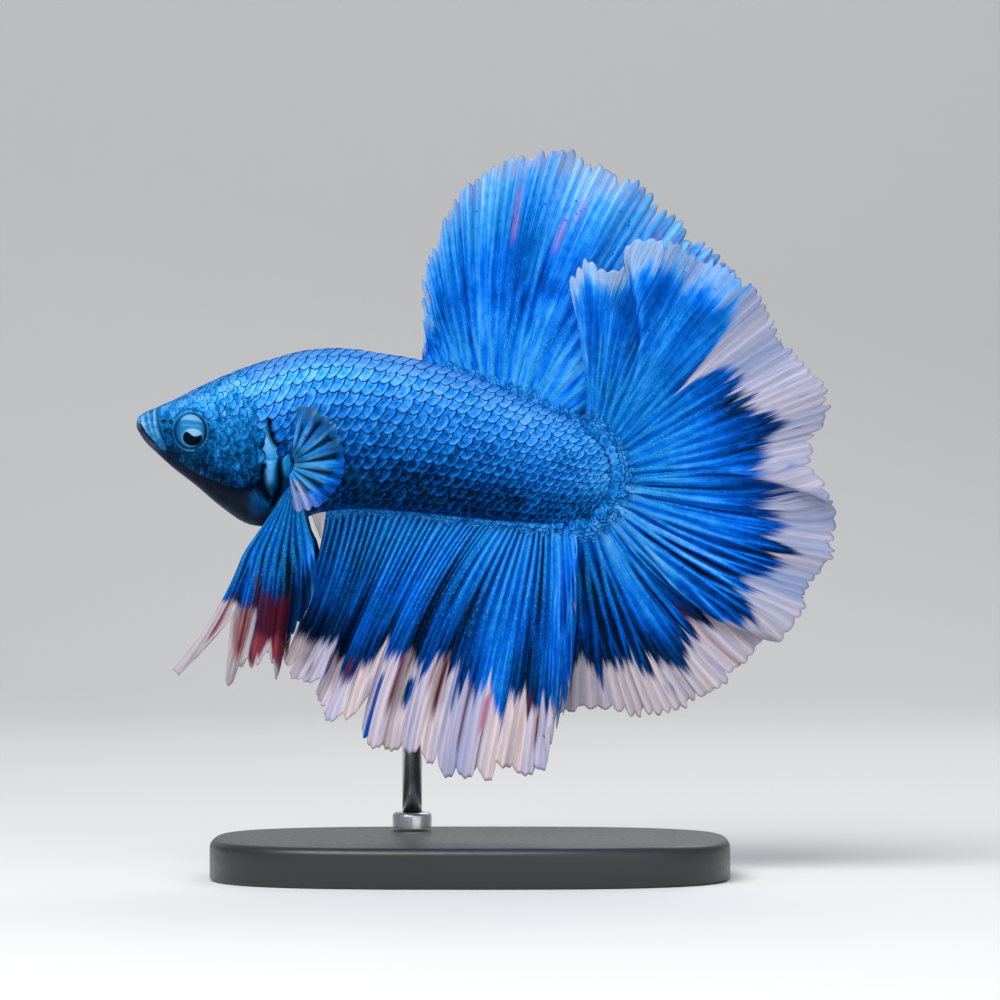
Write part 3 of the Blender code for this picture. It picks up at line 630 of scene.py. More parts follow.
def add_scales(name, side, spots, mat, shear=1.0):
    """spots: rows of x, girth fraction, length, height, lift, seed, turn; shear is 0 for round scales."""
    p, q, r, faces = scale_template(SCALE_CELLS)
    x0, a0, length, height, lift, seed, turn = spots.T[..., None]
    girth = np.interp(x0, SECTION_X, GIRTHS)
    along = (p * (1.0 - 0.52 * shear * np.maximum(q, 0.0) ** 1.6) - 0.16 * shear * q) * length * 0.5
    across = q * (1.0 + 0.10 * np.maximum(-p, 0.0)) * height * 0.5
    lean = (0.36 - 0.10 * smooth(0.35, 0.7, a0)) * (shear > 0)
    x = x0 + along * np.cos(turn) - across * np.sin(turn)
    a = a0 + (along * np.sin(turn) + across * np.cos(turn) - lean * along) / girth
    P, N = flank(x, np.clip(a, 0.0, 1.0)), flank_normal(x, np.clip(a, 0.001, 0.999))
    move = head_form(P[..., 0], P[..., 2])[0] * 0.9 * smooth(SHOULDER, HEAD_END, x)
    fore = (0.72 - 0.12 * shear) * p + 0.74 * shear * q
    rise = move * smooth(0.10, 0.45, np.abs(N[..., 1])) - SCALE_DEPTH \
        + lift * (0.06 + 0.94 * np.clip(0.5 + 0.5 * fore, 0.0, 1.0) ** 1.2)
    puff = lift * (0.16 * (1.0 - r ** 2.2) - 0.12 * bell(r, 0.0, 0.45))
    mid = [SCALE_CELLS // 2 * (SCALE_CELLS + 2)]
    verts = np.concatenate([P + N * (rise + puff)[..., None],
                            P[:, mid] + N[:, mid] * (rise[:, mid] - 0.06)[..., None]], axis=1)
    verts[..., 1] = -side * verts[..., 1] + body_bend(verts[..., 0])
    u0, v0 = (x0 + 34.0) / 50.0, 0.03 + 0.94 * a0
    patch_u = length / 50.0 * lerp(0.125, 0.21, shear)
    patch_v = 0.31 / ROWS if shear else height / girth * 0.145
    pu, pv = np.append(p, 0.0), np.append(q, 0.0)
    uv = np.stack([u0 + pu * patch_u, v0 + pv * patch_v], -1)
    # the underside of a scale folds into the foremost tip of its own patch
    under = np.stack([u0 - patch_u * (1.06 - 0.03 * pu), v0 + pv * patch_v * 0.05], -1)
    shaded = shear * bell(x0, -18.5, 1.1) * bell(flank(x0, a0)[..., 2], 43.9, 1.6)
    calm = (0.45 + 0.55 * smooth(0.20, 0.42, a0)) * (1.0 - shear) + 0.9 * shaded
    attrs = {"calm": np.maximum(calm, 0.8 * shear * smooth(12.4, 14.4, x0)), "seed": seed,
             "head": 1.0 - shear + 0.55 * shear * smooth(7.0, 13.5, x0), "rim": np.append(r, 1.0),
             "fore": np.append(fore, -1.0), "tone": tone(x0, a0) + 0.20 * shaded}
    scale_coat(name, verts, side < 0, faces, (uv, under), attrs, mat)


def trunk_spots(rng):
    """Rows of scales from back to belly, finer towards the tail and the belly."""
    spots = []
    for k in range(ROWS + 1):
        a = min(k / ROWS + 0.035 * math.sin(math.pi * k / ROWS), 0.99)
        x = -24.6 + 0.29 * k
        while x < 14.9:
            room = np.interp(x, SECTION_X, GIRTHS) / ROWS
            pitch = lerp(1.08, 0.76, smooth(-8.0, 12.0, x)) * lerp(0.78, 1.0, smooth(-24.5, -18.5, x)) \
                * lerp(1.0, 0.85, smooth(0.80, 1.0, a))
            sx, sa = x + rng.uniform(-0.05, 0.05), a + rng.uniform(-0.004, 0.004)
            z = flank(np.array([sx]), np.array([sa]))[0, 2]
            start = steps(z, GILL_BORDER) + 0.55 * bell(z, 44.5, 1.3)
            if sx > start and hub_reach(sx, z) > 1.35 and (room >= 0.52 or k % 2 == 0):
                spots.append((sx, sa, pitch * 1.78, max(room * 1.62, 0.66),
                              0.105 * rng.uniform(0.75, 1.25), rng.random(), rng.uniform(-0.12, 0.12)))
            x += pitch
    return np.array(spots)


def head_spots(rng):
    """Irregular scales: random places kept apart by the local spacing."""
    xs, sa = rng.uniform(-31.0, -19.8, 16000), rng.uniform(0.0, 1.0, 16000)
    p = flank(xs, sa)
    px, pz = p[:, 0], p[:, 2]
    spacing = 0.34 + 0.36 * smooth(-30.0, -21.5, xs) + 0.20 * smooth(0.26, 0.50, sa)
    good = (orbit_reach(px, pz) > 1.16 + 0.10 * spacing) & (throat_mask(px, pz) < 0.35)
    good &= (sa < 0.33) | (inside(px, pz, CHEEK_PLATE) > 0.22)
    good &= px < steps(pz, GILL_BORDER) + 0.15 - 0.55 * bell(pz, 44.5, 1.2)
    good &= px > steps(pz, ((42.9, -30.0), (43.6, -30.4), (44.9, -30.85), (46.1, -31.05), (47.1, -31.0)))
    for nx, nz, rx, rz in NOSTRILS + PORES[:2]:
        good &= np.hypot((px - nx) / rx, (pz - nz) / rz) > 2.0
    kept, spots = [], []
    for k in np.flatnonzero(good):
        if kept and np.min(np.sum((p[kept] - p[k]) ** 2, axis=1)) < (0.86 * spacing[k]) ** 2:
            continue
        kept.append(k)
        size = rng.uniform(0.85, 1.20)
        spots.append((xs[k], sa[k], spacing[k] * 1.95 * size, spacing[k] * 1.62 * size,
                      (0.045 + 0.060 * spacing[k]) * rng.uniform(0.6, 1.4),
                      rng.uniform(-0.5, 1.5), rng.uniform(-0.6, 0.6)))
    spots = np.array(spots)
    return spots[np.argsort(-spots[:, 0])]


def base_scales(name, fin, mat, rng, reach, spacing, lift, calm, first=0.0):
    """Small scales on both faces where a fin leaves the body, in rows across the rays."""
    p, q, r, faces = scale_template(6)
    mid, normals, half = FIN_GRIDS[fin]
    columns, rows = half.shape
    run = run_length(mid)
    limit = rng.uniform(0.0, 1.0, 40)
    cells, row, at = [], 0, 0.12

    def on_ray(k, distance, values):
        return [np.interp(distance, run[k], value) for value in values[k].T]

    while at < reach[1]:
        size = spacing * lerp(1.0, 0.60, at / reach[1])
        along = run_length(np.array([on_ray(k, at, mid) for k in range(columns)]))
        place = size * (0.5 if row % 2 else 0.0) + 0.2
        while place < along[-1] - 0.2:
            col = np.interp(place, along, np.arange(columns))
            far = lerp(*reach, np.interp(col / columns * 39.0, np.arange(40), limit))
            if at < far and col / (columns - 1) > first:
                cells.append((col, at, size * rng.uniform(0.88, 1.12)
                              * (1.0 - 0.30 * smooth(far - 1.0, far, at))))
            place += size * 0.80
        at += size * 0.56
        row += 1
    count = len(cells)
    col, at, size = np.array(cells * 2).T[..., None]
    face = np.repeat([1.0, -1.0], count)[:, None]
    i = np.rint(col[:, 0]).astype(int)
    j = np.array([np.searchsorted(run[k], d[0]) for k, d in zip(i, at)]).clip(1, rows - 2)
    ray, normal = unit(mid[i, j + 1] - mid[i, j - 1]), normals[i, j] * face
    sheet = np.dstack([mid, half + 0.02])
    base = np.array([on_ray(k, d[0], sheet) for k, d in zip(i, at)])
    root = base[:, :3] + normal * base[:, 3:]
    rise = lift * (0.06 + 0.94 * np.clip(0.5 + 0.5 * p, 0, 1) ** 1.2 + 0.25 * (1.0 - r ** 2.2))
    narrow = q * (1.0 - 0.30 * np.maximum(p, 0.0) ** 2)
    top = root[:, None] + ray[:, None] * (p * size * 0.80)[..., None] \
        + np.cross(normal, ray)[:, None] * (narrow * size * 0.56)[..., None] + normal[:, None] * rise[:, None]
    patch = 0.10 / count ** 0.5
    u0, v0 = 0.02 + 0.96 * col / (columns - 1), 0.5 + face * (0.03 + 0.42 * at / reach[1])
    pu, pv = np.append(q, 0.0) * patch, np.append(p, 0.0) * patch
    uv = np.stack([u0 + pu, v0 + pv], -1)
    under = np.stack([u0 + pu * 0.1, v0 - 1.15 * patch + pv * 0.03], -1)
    draws = rng.random((2 * count, 2))
    attrs = {"seed": draws[:, :1], "tone": 0.27 + 0.22 * draws[:, 1:], "fore": np.append(p, -1.0),
             "rim": np.append(r, 1.0), "calm": calm, "head": 0.3}
    scale_coat(name, np.concatenate([top, (root - normal * 0.04)[:, None]], axis=1), face[:, 0] < 0, faces,
               (uv, under), attrs, mat)


# ---- fins: columns follow the rays, c counts rays (0..rays), t runs from root (0) to margin (1),
# ---- s is the share of the fin's width (0..1) -----------------------------------------------
def wander(rng, c, per_ray=1.0):
    """Smooth noise over the ray coordinate, -1..1."""
    table = rng.uniform(-1.0, 1.0, 997)
    at = np.asarray(c, float) * per_ray + 3.0
    i = np.floor(at).astype(int)
    return lerp(table[i % len(table)], table[(i + 1) % len(table)], smooth(0.0, 1.0, at - i))


def wander2(rng, c, t, fc, ft):
    """Smooth noise over rays and reach, -1..1."""
    table = rng.uniform(-1.0, 1.0, (211, 211))
    a, b = c * fc + 5.0, t * ft + 5.0
    i, j = np.floor(a).astype(int), np.floor(b).astype(int)
    u, v = smooth(0.0, 1.0, a - i), smooth(0.0, 1.0, b - j)
    i, j = i % 210, j % 210
    return lerp(lerp(table[i, j], table[i + 1, j], u), lerp(table[i, j + 1], table[i + 1, j + 1], u), v)


def spikes(rng, c, per_ray):
    """Pointed one-sided noise, 0..1: mostly low with narrow peaks."""
    return (1.0 - np.abs(wander(rng, c, per_ray))) ** 3.0


def pleats(rng, c, t, *turns):
    """Uneven gathers; each turn is (period in rays, depth, power of reach, phase)."""
    out = 0.0
    for period, depth, power, phase in turns:
        drift = 0.30 * wander(rng, c, 0.9 / period)
        swell = 0.75 + 0.55 * wander(rng, c, 0.6 / period)
        out = out + depth * swell * np.sin(TURN * (c / period + phase + drift)) * t ** power
    return out


def fin_grid(rays, per_ray, rows):
    c, t = np.meshgrid(np.arange(rays * per_ray + 1) / per_ray, np.linspace(0.0, 1.0, rows), indexing='ij')
    return c, t, c / rays


def ray_points(root, tip, lead, t):
    """Quadratic ray from root to tip that leaves the root along lead (degrees)."""
    half_way = 0.5 * np.hypot(tip[0] - root[0], tip[1] - root[1])
    a = np.radians(lead)
    middle = (root[0] + half_way * np.cos(a), root[1] + half_way * np.sin(a))
    return [(1 - t) ** 2 * root[k] + 2 * t * (1 - t) * middle[k] + t * t * tip[k] for k in (0, 1)]


def fan_tips(centre, sweep, reach, s, cut):
    """Tips on a fan, cut short by cut millimetres."""
    angle = np.radians(lerp(*sweep, s))
    r = curve(reach, s) - cut
    return centre[0] + r * np.cos(angle), centre[1] + r * np.sin(angle)


def branch_ridges(c, t, rays, *splits):
    """Height 0..1 of branching rays: eight tips share one stem at the root, then 4, 2 and 1."""
    out = 0.0
    for step in range(-5, 6):
        k = np.clip(np.floor(c) + step, 0, rays - 1)
        place = (np.floor(k / 8) + 0.5) * 8
        for g, (start, end) in zip((4, 2, 1), splits):
            place = lerp(place, (np.floor(k / g) + 0.5) * g, smooth(start, end, t))
        out = np.maximum(out, bell(c, place, 0.85 - 0.62 * smooth(0.0, 0.75, t)))
    return out


def fine_ridges(c, width):
    return bell(c - np.floor(c), 0.5, width)


def fingers(rng, c, rays, notch, uneven, deep=(), soft=1.0):
    """How far (mm) the margin falls short of the fin's envelope at ray coordinate c."""
    f = c - np.floor(c)
    lobe = np.abs(np.sin(math.pi * f)) ** soft
    k = np.minimum(np.floor(c), rays - 1).astype(int)
    each = notch * rng.uniform(0.55, 1.35, rays)
    gap = rng.uniform(0.0, 1.0, rays + 1)
    side = np.where(f < 0.5, gap[k], gap[k + 1])
    short = uneven * rng.uniform(0.0, 1.0, rays)
    out = short[k] * lobe + (each[k] * (0.5 + side) + 0.3 * uneven) * (1.0 - lobe)
    for place, depth, width in deep:
        out = out + depth * np.exp(-np.abs((c - place) / width) ** 1.3)
    return out


def finger_rim_highlights(c, t):
    """Painted highlight: a thin pale outline around the free end of each ray."""
    f = c - np.floor(c)
    side = smooth(0.17, 0.02, np.minimum(f, 1.0 - f)) * smooth(0.88, 0.96, t)
    return np.maximum(side, smooth(0.972, 0.995, t))


def root_swell(mid, size, spread):
    """Extra half thickness where a fin leaves the body."""
    return size * bell(run_length(mid), 0.0, spread)


def patches(c, t, table, rise, fall):
    """Strongest of some streaks: ray, reach from and to, half width in rays, amount."""
    return most(*(amount * bell(c, place, width) * span(low, low + rise, high - fall, high, t)
                  for place, low, high, width, amount in table))


FIN_GRIDS = {}
FIN_ATTRS = ("ray", "reach", "ridge", "tone", "white", "warm", "base", "pink", "rust", "dark")
MARGIN, START = TURNED, [3, 0, 1, 2]


def shell(name, mid, half, mat, slot, nodes=(), **attrs):
    """Closed thin fin about a mid surface of shape (columns, rows, 3)."""
    columns, rows = half.shape
    n = unit(np.cross(np.gradient(mid, axis=0), np.gradient(mid, axis=1)))
    if np.median(n[..., 1]) > 0:
        n = -n
    FIN_GRIDS[name] = (mid, n, half)
    move = n * half[..., None]
    verts = np.concatenate([(mid + move).reshape(-1, 3), (mid - move).reshape(-1, 3)])
    near = numbered(columns, rows)
    far = near + near.size
    U, V = np.meshgrid(np.linspace(0.012, 0.988, columns), np.linspace(0.0, 1.0, rows), indexing='ij')
    faces = [grid_quads(near), grid_quads(far)[:, TURNED]]
    uvs = [grid_quads(np.stack([U, 0.520 + 0.460 * V], -1)),
           grid_quads(np.stack([U, 0.480 - 0.460 * V], -1))[:, TURNED]]
    # rims: margin, root, first ray, last ray, each with a strip of the unwrap
    for edge, axis, low, high, order in ((np.s_[:, -1], 1, 0.984, 0.996, MARGIN),
                                         (np.s_[:, 0], 1, 0.494, 0.506, START),
                                         (np.s_[0], 0, 0.002, 0.008, MARGIN),
                                         (np.s_[-1], 0, 0.992, 0.998, START)):
        pair = np.stack([near[edge], far[edge]])
        strip = np.empty((*pair.shape, 2))
        strip[..., 1 - axis] = np.linspace(0.02, 0.98, pair.shape[1])
        strip[..., axis] = [[high], [low]]
        faces.append(grid_quads(pair)[:, order])
        uvs.append(grid_quads(strip)[:, order])
    # the front faces must look along the shell normal
    a, b, c = (verts[faces[0][:, k]] for k in (0, 1, 2))
    if np.median(np.sum(np.cross(b - a, c - a) * n[:-1, :-1].reshape(-1, 3), axis=-1)) < 0:
        faces = [f[:, ::-1] for f in faces]
        uvs = [w[:, ::-1] for w in uvs]
    both = {key: np.tile(np.broadcast_to(attrs.get(key, 0.0), (columns, rows)).ravel(), 2)
            for key in FIN_ATTRS}
    return make_mesh(name, verts, faces, mat, nodes, both, uvs)


FIN_TONES = ((0.00, (0.260, 0.480, 0.830)), (0.16, (0.070, 0.340, 0.840)),
             (0.34, (0.006, 0.200, 0.780)), (0.52, (0.000, 0.095, 0.560)),
             (0.70, (0.000, 0.040, 0.260)), (0.86, (0.000, 0.013, 0.070)),
             (1.00, (0.001, 0.004, 0.012)))
SEA_TONES = ((0.2, (0.030, 0.300, 0.600)), (0.5, (0.000, 0.110, 0.330)), (0.8, (0.000, 0.022, 0.085)))


def fin_material(name, lilac, cream, fold=(0.200, 0.230, 0.380), fine=(0.120, 0.140, 0.270),
                 bright=(0.600, 0.600, 0.680), pink=(0.400, 0.150, 0.330),
                 rust=(0.150, 0.016, 0.030), gather=0.55):
    s = Shader(name)
    ray, reach, ridge, tone_in, base, edge = map(s.attr, ("ray", "reach", "ridge", "tone", "base", "white"))
    streak = s.noise2(ray, reach, 3.1, 2.6, 3.0)
    hair = s.noise2(ray, reach, 11.0, 5.0)
    shade = tone_in + (streak - 0.5) * 0.50 + (hair - 0.5) * 0.55 + (s.noise(1500.0) - 0.5) * 0.30
    colour = s.mix(s.step(0.42, 0.68, s.noise(130.0, 2.0)) * 0.46, s.ramp(shade, *FIN_TONES),
                   s.ramp(shade, *SEA_TONES))
    teal = s.mix(s.noise(700.0), (0.000, 0.110, 0.330), (0.008, 0.290, 0.600))
    on_ridge = s.step(0.15, 0.75, ridge)
    colour = s.mix(base * on_ridge * 0.60, colour, teal)
    beads = s.step(0.56, 0.66, s.noise2(ray, reach, 2.6, 90.0, 1.0))
    colour = s.mix(beads * (s.step(0.75, 0.05, reach) * on_ridge) * 0.55, colour, (0.070, 0.450, 0.830))
    fleck = s.step(0.19, 0.10, s.node("TexVoronoi", {"Scale": 1250.0, "Vector": s.position()}, "Distance"))
    fleck = fleck * s.step(0.50, 0.58, s.noise(190.0)) * s.step(0.15, 0.4, reach)
    colour = s.mix(fleck * 0.7, colour, (0.000, 0.018, 0.120))
    pale = s.mix(s.math('ADD', s.attr("warm"), (streak - 0.5) * 0.9, clamp=True), lilac, cream)
    # painted shade between the rays in the pale margin: the fold colour, by gather
    pale = s.mix((1.0 - ridge) * gather, pale, fold)
    pale = s.mix(s.step(0.54, 0.74, hair) * 0.60, pale, fine)
    pale = s.mix(s.step(0.45, 0.25, hair) * 0.45, pale, bright)
    ragged = (hair - 0.5) * 1.3 + (streak - 0.5) * 1.3
    white = s.step(0.15, 0.85, edge + edge * (1.0 - edge) * 4.0 * ragged)
    colour = s.mix(white, colour, pale)
    colour = s.mix(s.attr("pink"), colour, pink)
    colour = s.mix(s.attr("rust"), colour, rust)
    # dark mask: mostly painted shade in fold hollows, grooves, valleys and clefts; dark pigment on the pelvic
    # fins
    colour = s.mix(s.attr("dark"), colour, (0.000, 0.004, 0.016))
    s.surface(colour, s.ramp(hair, (0.3, 0.40), (0.7, 0.58)), 0.15, 0.12, 0.0, 0.28, SHEEN_BLUE)
    s.bump(hair + s.noise(2600.0, 2.0) * 0.7, 0.5, 0.00008)
    return s.mat


# ---- tail fin -------------------------------------------------------------------------------
CAUDAL_REACH = [19.2, 21.0, 20.2, 22.2, 23.5, 23.6, 23.4, 23.5, 23.5, 23.4, 23.1, 22.6, 22.0,
                22.7, 23.3, 23.6, 22.5, 21.4, 20.4, 22.7, 22.8, 23.9, 24.4, 23.8, 23.8, 24.5,
                24.6, 23.4, 24.0, 24.4, 24.8, 25.1, 25.2, 25.1, 24.2, 24.4, 25.0]
CAUDAL_LEAD = [90, 78, 62, 42, 20, 0, -20, -42, -60, -76, -89]
CAUDAL_SWEEP = (101.0, -98.0)
CAUDAL_RAYS = 92
# place of each fold along the rays (fin share at reach 0, 0.25 .. 1), width, turn in degrees,
# depth step in mm, reach where it starts, shade in its hollow
CAUDAL_FOLDS = (((0.20, 0.185, 0.150, 0.105, 0.082), 0.018, 5.5, -1.3, 0.15, 0.42),
                ((0.47, 0.480, 0.492, 0.515, 0.548), 0.022, 6.5, 1.6, 0.25, 0.20),
                ((0.69, 0.740, 0.760, 0.752, 0.728), 0.020, 8.0, 1.8, 0.15, 0.42))
# by fin share: width of the white margin, amount of navy inside it, warmth of the white
CAUDAL_WHITE = ((0.0, 1.6), (0.05, 1.8), (0.10, 3.0), (0.2, 3.4), (0.265, 3.4), (0.28, 6.4),
                (0.293, 8.6), (0.310, 6.4), (0.33, 5.2), (0.36, 5.8), (0.40, 5.6), (0.44, 5.2),
                (0.47, 4.0), (0.52, 5.0), (0.56, 4.4), (0.60, 5.0), (0.66, 4.0), (0.70, 5.0),
                (0.735, 4.2), (0.765, 6.8), (0.80, 5.2), (0.84, 2.6), (0.865, 4.6), (0.90, 5.0),
                (0.96, 5.2), (1.0, 5.0))
CAUDAL_NAVY = ((0.0, 0.0), (0.26, 0.0), (0.31, 0.25), (0.37, 0.55), (0.43, 0.25), (0.48, 0.40),
               (0.53, 0.55), (0.59, 0.85), (0.65, 0.80), (0.70, 0.55), (0.76, 0.9), (0.84, 0.95),
               (0.90, 0.5), (1.0, 0.4))
CAUDAL_WARM = ((0.0, 0.3), (0.08, 0.5), (0.15, 0.1), (0.25, 0.1), (0.32, 0.35), (0.42, 0.42),
               (0.52, 0.25), (0.60, 0.12), (0.70, 0.35), (0.76, 0.95), (0.84, 0.85), (1.0, 1.0))


def caudal_root(s):
    """Around the end of the body, then forward under it."""
    a = np.radians(77.0 - 151.0 * np.minimum(s / 0.90, 1.0))
    under = np.clip((s - 0.90) / 0.10, 0.0, 1.0)
    x, z = lerp(10.95 + 3.55 * np.cos(a), 9.85, under), 40.4 + 4.55 * np.sin(a)
    return x, np.where(under > 0, np.minimum(z, body_at(x)[1] + 0.15), z)


def caudal_fin(mat):
    rng, patchy = np.random.default_rng(21), np.random.default_rng(31)
    c, t, s = fin_grid(CAUDAL_RAYS, 7, 60)
    cut = fingers(rng, c, CAUDAL_RAYS, 0.55, 0.30,
                  ((7.5, 1.3, 1.0), (42.6, 0.7, 0.6), (30.5, 0.5, 0.4), (57.4, 0.4, 0.5)))
    cut = cut - 0.30 + 0.55 * ((c / 5.7 + 0.35 * wander(rng, c, 0.2)) % 1.0) ** 2
    turn = step = 0.0
    folds = [((s - np.interp(t, np.linspace(0.0, 1.0, 5), places)) / width, *rest)
             for places, width, *rest in CAUDAL_FOLDS]
    for u, swing, depth, start, _ in folds:
        grow = smooth(start - 0.1, start + 0.45, t)
        turn = turn + swing * u * bell(u, 0.0, 1.0) * grow
        step = step + depth * (smooth(-1.0, 1.0, u) - 0.5) * bell(u, 0.0, 4.5) * grow
    angle = np.radians(lerp(*CAUDAL_SWEEP, s) + turn - 7.0 * smooth(0.93, 1.0, s))
    r = curve(CAUDAL_REACH, s) - cut
    x, z = ray_points(caudal_root(s), (13.5 + r * np.cos(angle), 40.8 + r * np.sin(angle)),
                      curve(CAUDAL_LEAD, s), t)
    gathers = pleats(rng, c, t, (2.0, 0.05, 1.0, 0.0), (5.3, 0.13, 1.3, 0.2), (9.1, 0.22, 1.4, 0.6))
    # groove and crest: sunk and raised bundles in the lower fan; their colour is painted shade in the grooves
    # and painted highlight on the crests
    bundle = np.abs((c / 4.6 + 0.9 * wander(rng, c, 0.20)) % 1.0 - 0.5) * 2.0
    low_fan = span(0.42, 0.56, 0.82, 0.90, s)
    groove = smooth(0.72, 0.96, bundle) * span(0.03, 0.12, 0.45, 0.80, t) * low_fan
    crest = smooth(0.50, 0.15, bundle) * span(0.0, 0.08, 0.30, 0.75, t) * low_fan
    lean = -3.0 * (1.0 - smooth(0.0, 0.55, s)) + 2.0 * smooth(0.62, 1.0, s)
    y = -0.9 + lean * t ** 1.1 + step + 0.42 * np.sin(TURN * 7.0 * s) * t * t \
        + gathers * (0.85 + 0.9 * smooth(0.5, 0.7, s)) + 0.30 * (groove - 0.5 * crest)
    mid = np.stack([x, y, z], -1)
    ridge = branch_ridges(c, t, CAUDAL_RAYS, (-0.3, -0.1), (0.14, 0.34), (0.50, 0.74))
    coarse = 0.35 + 0.65 * smooth(0.42, 0.60, s)
    half = (0.040 + (0.130 - 0.090 * t) * ridge * (0.5 + 0.5 * coarse)) * smooth(1.02, 0.93, t) + 0.022 \
        + root_swell(mid, 0.86, 1.9) * (0.45 + 0.55 * np.sin(math.pi * np.clip(s / 0.9, 0.0, 1.0)) ** 0.5)
    away = (1.0 - t) * r
    jag = 0.55 * spikes(rng, c, 0.33) + 0.45 * spikes(rng, c, 0.9) - 0.28 * spikes(rng, c, 0.6) \
        + 0.15 * wander(rng, c, 2.9) - 0.18
    width = steps(s, CAUDAL_WHITE) * (1.0 + jag * (0.85 - 0.30 * bell(s, 0.38, 0.10)))
    white = smooth(-2.2, 1.5, (width - away) / (1.0 + 0.9 * bell(s, 0.53, 0.035)))
    runs = smooth(0.60, 0.95, spikes(rng, c, 0.55)) * smooth(0.3, -0.2, wander2(rng, c, t, 0.4, 4.0))
    white = white * (1.0 - 0.70 * runs * smooth(0.97, 0.86, t) * smooth(0.30, 0.42, s))
    band = bell(away - width, 1.0, 2.6) * steps(s, CAUDAL_NAVY)
    band = band * (0.85 + 0.35 * wander(rng, c, 0.22)) * (0.85 + 0.4 * wander(rng, c, 0.8))
    tones = (0.41 + 0.08 * smooth(0.0, 0.35, t) + 0.07 * wander(rng, c, 0.16)
             + 0.10 * wander2(rng, c, t, 0.3, 3.0) + 0.07 * wander(rng, c, 0.8) + 0.45 * np.clip(band, 0, 1)
             # painted shade in the grooves, painted highlight on the crests
             + 0.15 * smooth(0.50, 0.75, s) * smooth(0.05, 0.3, t) + 0.30 * groove - 0.26 * crest
             # painted highlight on the ridges near the root of the lower fan
             - 0.20 * smooth(0.50, 0.70, s) * smooth(0.34, 0.06, t) * ridge
             + 0.16 * bell(s, 0.40, 0.08) * smooth(0.3, 0.6, t)
             - 0.12 * smooth(0.75, 1.0, t) * smooth(0.3, 0.1, s))
    # lighter ridges and darker membrane between them: painted highlight and shade of the ray relief
    relief = np.clip(0.78 + 0.85 * wander2(patchy, c, t, 0.22, 1.8), 0.20, 1.45)
    tones = tones + (0.50 - ridge) * coarse * (0.52 - 0.30 * t) * relief \
        + 0.09 * wander2(patchy, c, t, 0.9, 11.0) * smooth(0.8, 0.5, t)
    tint = steps(s, ((0.0, 1.0), (0.24, 0.9), (0.285, 0.0)))
    tones = np.maximum(tones, 0.17 * smooth(0.9, 0.7, t)) - 0.40 * tint * white
    # the finger rims add a painted highlight to the white
    white = np.maximum(white * (1.0 - 0.60 * tint),
                       0.55 * finger_rim_highlights(c, t) * (1.0 - 0.5 * smooth(0.3, 0.5, s)))
    # painted shade in the grooves and, below, in the hollows under the folds
    dark = 0.75 * groove
    # painted shade in the hollow under each fold and painted highlight along the fold's edge
    for u, _, depth, start, shade in folds:
        u = u * np.sign(depth)
        hollow = bell(u, 1.2, 0.8) * smooth(start + 0.1, start + 0.5, t)
        dark = np.maximum(dark, shade * hollow * (1.0 - white))
        tones = tones - 0.22 * bell(u, -0.75, 0.35) * smooth(start, start + 0.3, t)
    shell("fin_tail", mid, half, mat, "fin_membrane", ("caudal_fin",), ray=c, reach=t, ridge=ridge,
          tone=tones, white=white, dark=dark, base=smooth(0.55, 0.10, t),
          warm=np.clip(steps(s, CAUDAL_WARM) + 0.3 * wander(rng, c, 0.7), 0, 1),
          rust=0.5 * bell(s, 0.785, 0.004) * smooth(0.5, 0.8, t))


# ---- back fin -------------------------------------------------------------------------------
DORSAL_REACH = [10.0, 10.3, 11.1, 12.2, 13.4, 15.0, 16.4, 17.2, 19.0, 20.5, 22.0, 22.9, 24.2,
                24.4, 25.2, 25.9, 25.3, 25.3, 25.3, 25.5, 24.5, 24.9, 25.0, 25.4, 25.6, 26.1,
                25.8, 24.6, 22.4, 19.8, 17.0]
DORSAL_LEAD = [138, 122, 110, 101, 92, 82, 70, 54, 38, 22, 6]
DORSAL_RAYS = 64
# streaks: ray, reach from and to, half width in rays, amount
DORSAL_PINK = ((28.3, 0.60, 0.80, 0.34, 0.60), (28.1, 0.68, 0.94, 0.42, 0.34),
               (34.4, 0.58, 0.80, 0.42, 0.48), (35.6, 0.70, 0.92, 0.36, 0.36),
               (44.5, 0.76, 0.95, 0.70, 0.36), (46.8, 0.78, 0.96, 0.50, 0.32),
               (49.4, 0.78, 0.94, 0.60, 0.32))


